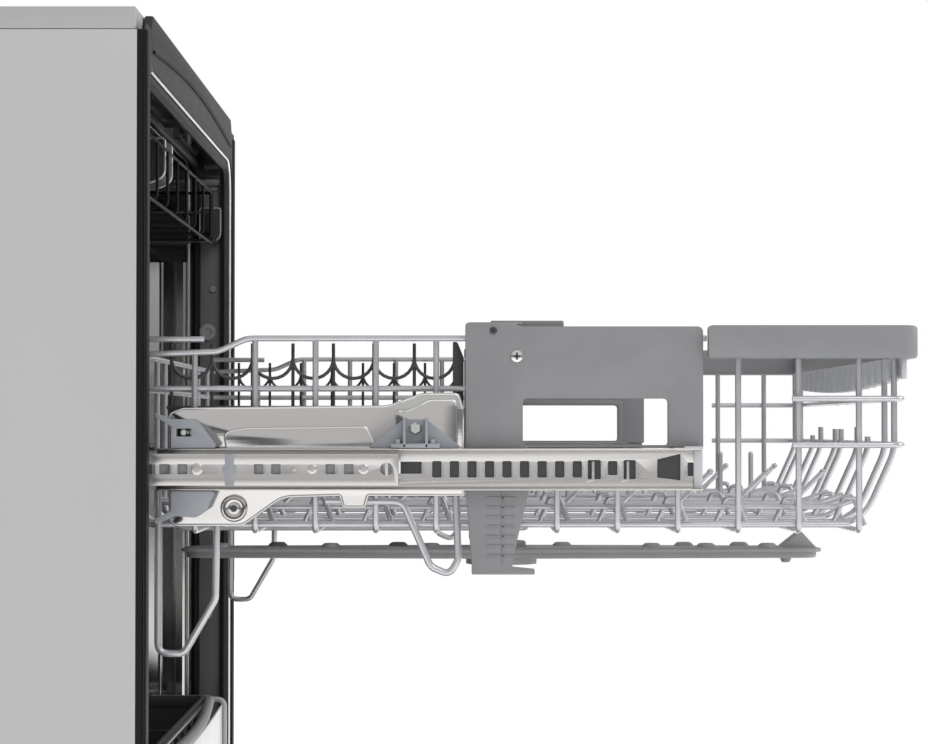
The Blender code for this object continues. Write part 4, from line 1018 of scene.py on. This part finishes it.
def make_third_rack():
    low, high = ends("third_rack")
    y0, y1 = low.y + 0.001, high.y - 0.001
    half = 0.256
    runner = 0.2636
    floor = low.z + 0.0014
    rim = high.z - 0.0014
    routes = [cradle(y0 + (y1 - y0) * step / 8, half, half, rim, floor, 0.008) for step in range(9)]
    for step in range(9):
        x = -half + 0.012 + (2 * half - 0.024) * step / 8
        routes.append(rounded([(x, y0, rim), (x, y0, floor + 0.0024), (x, y1, floor + 0.0024),
            (x, y1, rim)], 0.006, False))
    routes.append(hoop(half, y0, y1, rim))
    for sign in SIDES.values():
        routes.append([(sign * runner, y0, floor + 0.009), (sign * runner, y1, floor + 0.009)])
        for y in (y0 + 0.02, y1 - 0.02):
            routes.append([(sign * runner, y, floor + 0.009), (sign * half, y, floor + 0.009)])
    wires("third_rack_wires", routes, 0.0012, "trim", "third_rack", "third_rack")
    profile = corners((20, 810.5, 3), (20, 782, 12), (32, 777.5, 12), (56, 777.5, 4), (56, 810.5, 3))
    finish_piece("third_rack_grip", plate(profile, 0.044, side_plane(0), edge=0.0015), "band", "third_rack")
    # Light wire round both faces of the dark grip: painted highlight along its edges.
    rims = [at_x(x, profile) for x in (-0.0215, 0.0215)]
    wires("third_rack_grip_painted_highlight_rims", rims, 0.001, "wire", "third_rack")


def make_lower_rack():
    low, high = ends("lower_rack")
    y0, y1 = 0.0138, high.y - 0.0018
    floor, rim = TUB_FLOOR + 0.0588, high.z - 0.0018
    bottom, top = 0.2382, 0.2602
    bays = 13
    routes = [cradle(y0 + 0.006 + (y1 - y0 - 0.012) * step / (bays - 1), top, bottom, rim, floor,
        0.02) for step in range(bays)]
    for step in range(12):
        x = -bottom + 0.016 + (2 * bottom - 0.032) * step / 11
        routes.append(rounded([(x * 1.06, y0, rim), (x, y0, floor + 0.0036), (x, y1, floor + 0.0036),
            (x * 1.06, y1, rim)], 0.02, False))
    routes.append(hoop(top, y0, y1, rim, 0.02))
    for height in (0.262, 0.315):
        share = (height - floor) / (rim - floor)
        routes.append(hoop(bottom + (top - bottom) * share, y0, y1, height, 0.02))
    wires("lower_rack_wires", routes, 0.0018, "wire", "lower_rack", "lower_rack")
    tines = []
    tips = []
    for x in (-0.185, -0.12, -0.055, 0.055, 0.12, 0.185):
        for step in range(13):
            y = 0.1 + 0.03 * step
            end = (x, y - 0.004, floor + 0.068)
            tines.append([(x, y, floor + 0.003), end])
            tips.append(round_tip(end, 0.0018))
    wires("lower_rack_tines", tines, 0.0016, "wire", "lower_rack")
    finish_piece("lower_rack_tine_tips", tips, "wire", "lower_rack")
    make_lower_front(rim)


def bow(x, deep=0.0115, half=0.236):
    return 0.01 - deep * math.cos(math.pi / 2 * min(1, abs(x) / half))


def make_lower_front(rim):
    """The bowed rail along the lower rack's front with the bright panel under it."""
    half = 0.236
    xs = [half * (step / 14 - 1) for step in range(29)]
    bar = [(x, bow(x) + 0.0025, rim + 0.0008) for x in xs]
    bar = [(-half, 0.06, rim + 0.001)] + bar + [(half, 0.06, rim + 0.001)]
    wires("lower_rack_front_rail", [rounded(bar, 0.004, False, 3)], 0.0042, "arm", "lower_rack")
    sheet = [(x, bow(x) * 0.3 - 0.0012) for x in xs] + [(x, bow(x) * 0.3) for x in reversed(xs)]
    panel = plate(sheet, 0.044, level_plane(rim - 0.025), edge=0.0002)
    finish_piece("lower_rack_front_panel", panel, "white", "lower_rack")
    legs = []
    for sign in SIDES.values():
        x = sign * (half + 0.0035)
        legs.append(rounded([(x, 0.014, rim + 0.001), (x, 0.0005, rim + 0.001), (x, 0.0005, rim - 0.04),
            (x, 0.006, rim - 0.068)], 0.008, False))
    wires("lower_rack_front_legs", legs, 0.0024, "light", "lower_rack")


def make_basket():
    (x0, y0, z0), (x1, y1, z1) = ends("cutlery_basket")
    wall = 0.0022
    slots = []
    pitch = 0.0115
    for column in range(int((x1 - x0 - 0.02) / pitch)):
        x = x0 + 0.013 + pitch * column
        for row in range(3):
            z = z0 + 0.012 + 0.036 * row
            slots.append(rounded(rectangle(x, x + 0.0065, -z - 0.028, -z), 0.003, steps=2))
    front = rectangle(x0, x1, -z1 + 0.01, -z0)
    flipped = Matrix(((1, 0, 0), (0, 0, 1), (0, -1, 0))).to_4x4()
    walls = [plate(front, wall, Matrix.Translation((0, y, 0)) @ flipped,
        slots) for y in (y0 + wall / 2, y1 - wall / 2)]
    side = rounded(rectangle(y0, y1, z0, z1 - 0.01), 0.001)
    holes = [rounded(rectangle(y, y + 0.008, z0 + 0.015, z0 + 0.085), 0.003,
        steps=2) for y in (y0 + 0.012, y0 + 0.027, y0 + 0.042)]
    for x in (x0 + wall / 2, x1 - wall / 2, x0 / 3, x1 / 3):
        walls.append(plate(side, wall, side_plane(x), holes))
    walls.append(box((x0, y0, z0), (x1, y1, z0 + 0.002), 0.0004))
    outer = rounded(rectangle(x0 - 0.001, x1 + 0.001, y0 - 0.0004, y1 + 0.0004), 0.006)
    inner = rounded(rectangle(x0 + 0.003, x1 - 0.003, y0 + 0.003, y1 - 0.003), 0.005)
    walls.append(plate(outer, 0.01, level_plane(z1 - 0.005), [inner], 0.001))
    finish_piece("cutlery_basket_moulding", walls, "dark", "cutlery_basket", "cutlery_basket")


# ---- door

def make_door():
    top = TUB_FLOOR
    rings = []
    for inset, lift in ((0.03, 0.0014), (0.04, 0.0009)):
        x, ya, yb = 0.275 - inset, -0.675 + inset, -0.06 - inset
        outer = rounded(rectangle(-x, x, ya, yb), 0.03)
        inner = rounded(rectangle(-x + 0.006, x - 0.006, ya + 0.006, yb - 0.006), 0.026)
        rings.append(plate(outer, lift, level_plane(top + lift / 2), [inner], lift * 0.4))
    for x in (-0.17, -0.135, 0.135, 0.17):
        rib = rounded(rectangle(x - 0.006, x + 0.006, -0.6, -0.15), 0.006)
        rings.append(plate(rib, 0.0014, level_plane(top + 0.0007), edge=0.0006))
    finish_piece("door_liner_embossing", rings, "stainless", "door")
    profile = mm((3.5, 0), (3.5, 0.8), (2.8, 1.4), (1.2, 1.5), (1, 0.6))
    screws = [turned(profile, Matrix.Translation((x, y, top)),
        20) for x in (-0.285, 0.285) for y in (-0.07, -0.28, -0.48, -0.66)]
    finish_piece("door_liner_screws", screws, "screw", "door")
    end = ends("control_panel")[0].y
    window = plate(rounded(rectangle(-0.045, 0.045, 0.118, 0.146), 0.003), 0.0008,
        front_plane(end + 0.0003), edge=0.0002)
    finish_piece("control_display", window, "glass", "door")
    lights = [rod((x, end + 0.0006, 0.132), (x, end + 0.0001, 0.132), 0.0012, 16,
        0.0002) for x in mm(-230, -170, -90, -30, 30, 90, 170, 230)]
    finish_piece("control_lamps", lights, "white", "door")
    low, high = ends("dispenser_lid")
    grips = []
    for step in range(4):
        y = low.y + 0.008 + 0.004 * step
        grips.append(box((low.x + 0.012, y, high.z - 0.0002), (high.x - 0.012, y + 0.0014, high.z + 0.0009),
            0.0004))
    finish_piece("dispenser_lid_grips", grips, "dark", "dispenser_lid")
    low, high = ends("rinse_aid_cap")
    x, y = (high.x + low.x) / 2, (high.y + low.y) / 2
    bar = box((x - 0.0125, y - 0.0022, high.z - 0.0008), (x + 0.0125, y + 0.0022, high.z + 0.0022), 0.0009)
    finish_piece("rinse_cap_grip", bar, "dark", "rinse_aid_cap")


# ---- back

def make_back():
    low, high = ends("rear_panel")
    back, x1, z0, z1 = high.y, high.x, low.z, high.z
    pieces = []
    for x in (-0.15, 0.15):
        for start, end in ((z0 + 0.06, z0 + 0.32), (z0 + 0.38, z1 - 0.06)):
            outer = rounded(rectangle(x - 0.11, x + 0.11, start, end), 0.02)
            inner = rounded(rectangle(x - 0.103, x + 0.103, start + 0.007, end - 0.007), 0.016)
            pieces.append(plate(outer, 0.0016, front_plane(back + 0.0002), [inner], 0.0006))
    finish_piece("rear_panel_embossing", pieces, "casing", "cabinet")
    spin = Matrix.Rotation(math.radians(-90), 4, "X")
    profile = mm((4, -0.4), (4, 0.6), (3.4, 1.2), (1.4, 1.3), (1.2, 0.5))
    screws = [turned(profile, Matrix.Translation((x, back, z)) @ spin,
        20) for x in (-x1 + 0.012, 0, x1 - 0.012) for z in (z0 + 0.02, (z0 + z1) / 2, z1 - 0.02)]
    finish_piece("rear_panel_screws", screws, "screw", "cabinet")
    louvres = []
    for step in range(5):
        z = z0 + 0.008 * step
        louvres.append(box((-0.06, back - 0.0006, z + 0.01), (0.06, back + 0.0011, z + 0.0135), 0.0004))
    finish_piece("rear_panel_louvres", louvres, "casing", "cabinet")


def make_filter():
    """The perforated plate round the filter cup."""
    low, high = ends("filter_cup")
    y = (low.y + high.y) / 2
    holes = [arc((0, y), 0.034, 0, 350, 35)]
    for ring, count in ((0.041, 30), (0.0475, 36), (0.054, 42)):
        for step in range(count):
            turn = 2 * math.pi * (step + (ring * 1000 % 2) / 2) / count
            holes.append(arc((ring * math.cos(turn), y + ring * math.sin(turn)), 0.0021, 0, 300, 5))
    disc = plate(arc((0, y), 0.06, 0, 354, 59), 0.0008, level_plane(TUB_FLOOR + 0.0008), holes)
    finish_piece("filter_plate", disc, "stainless", "cabinet", smooth=20)


def main():
    make_camera()
    make_stage()
    make_upper_rack()
    make_front_trim()
    make_adjusters()
    make_side_plates()
    make_rails()
    make_cup_shelves()
    make_folding_tines()
    make_arms()
    make_casing()
    make_tub_lining()
    make_third_rack()
    make_lower_rack()
    make_basket()
    make_door()
    make_back()
    make_filter()


main()
for material, nodes in {
    "casing": "side_panel_left side_panel_right rear_panel hinge_bracket_left "
              "hinge_bracket_right",
    "trim": "front_frame",
    "rubber": "door_gasket",
    "tub_steel": "tub",
    "dark": "third_rail_left third_rail_right control_panel sump base_pan circulation_pump "
            "drain_pump dispenser_lid rinse_aid_cap foot_front_left foot_front_right "
            "foot_rear",
    "arm": "feed_pipe",
    "polished": "latch_strike",
    "stainless": "door_inner_panel door_outer_panel door_handle",
    "grey": "filter_cup dispenser_housing",
    "light": "power_button program_button option_button start_button rack_wheel_front_left "
             "rack_wheel_front_right rack_wheel_rear_left rack_wheel_rear_right",
}.items():
    for node in nodes.split():
        recolour(node, material)
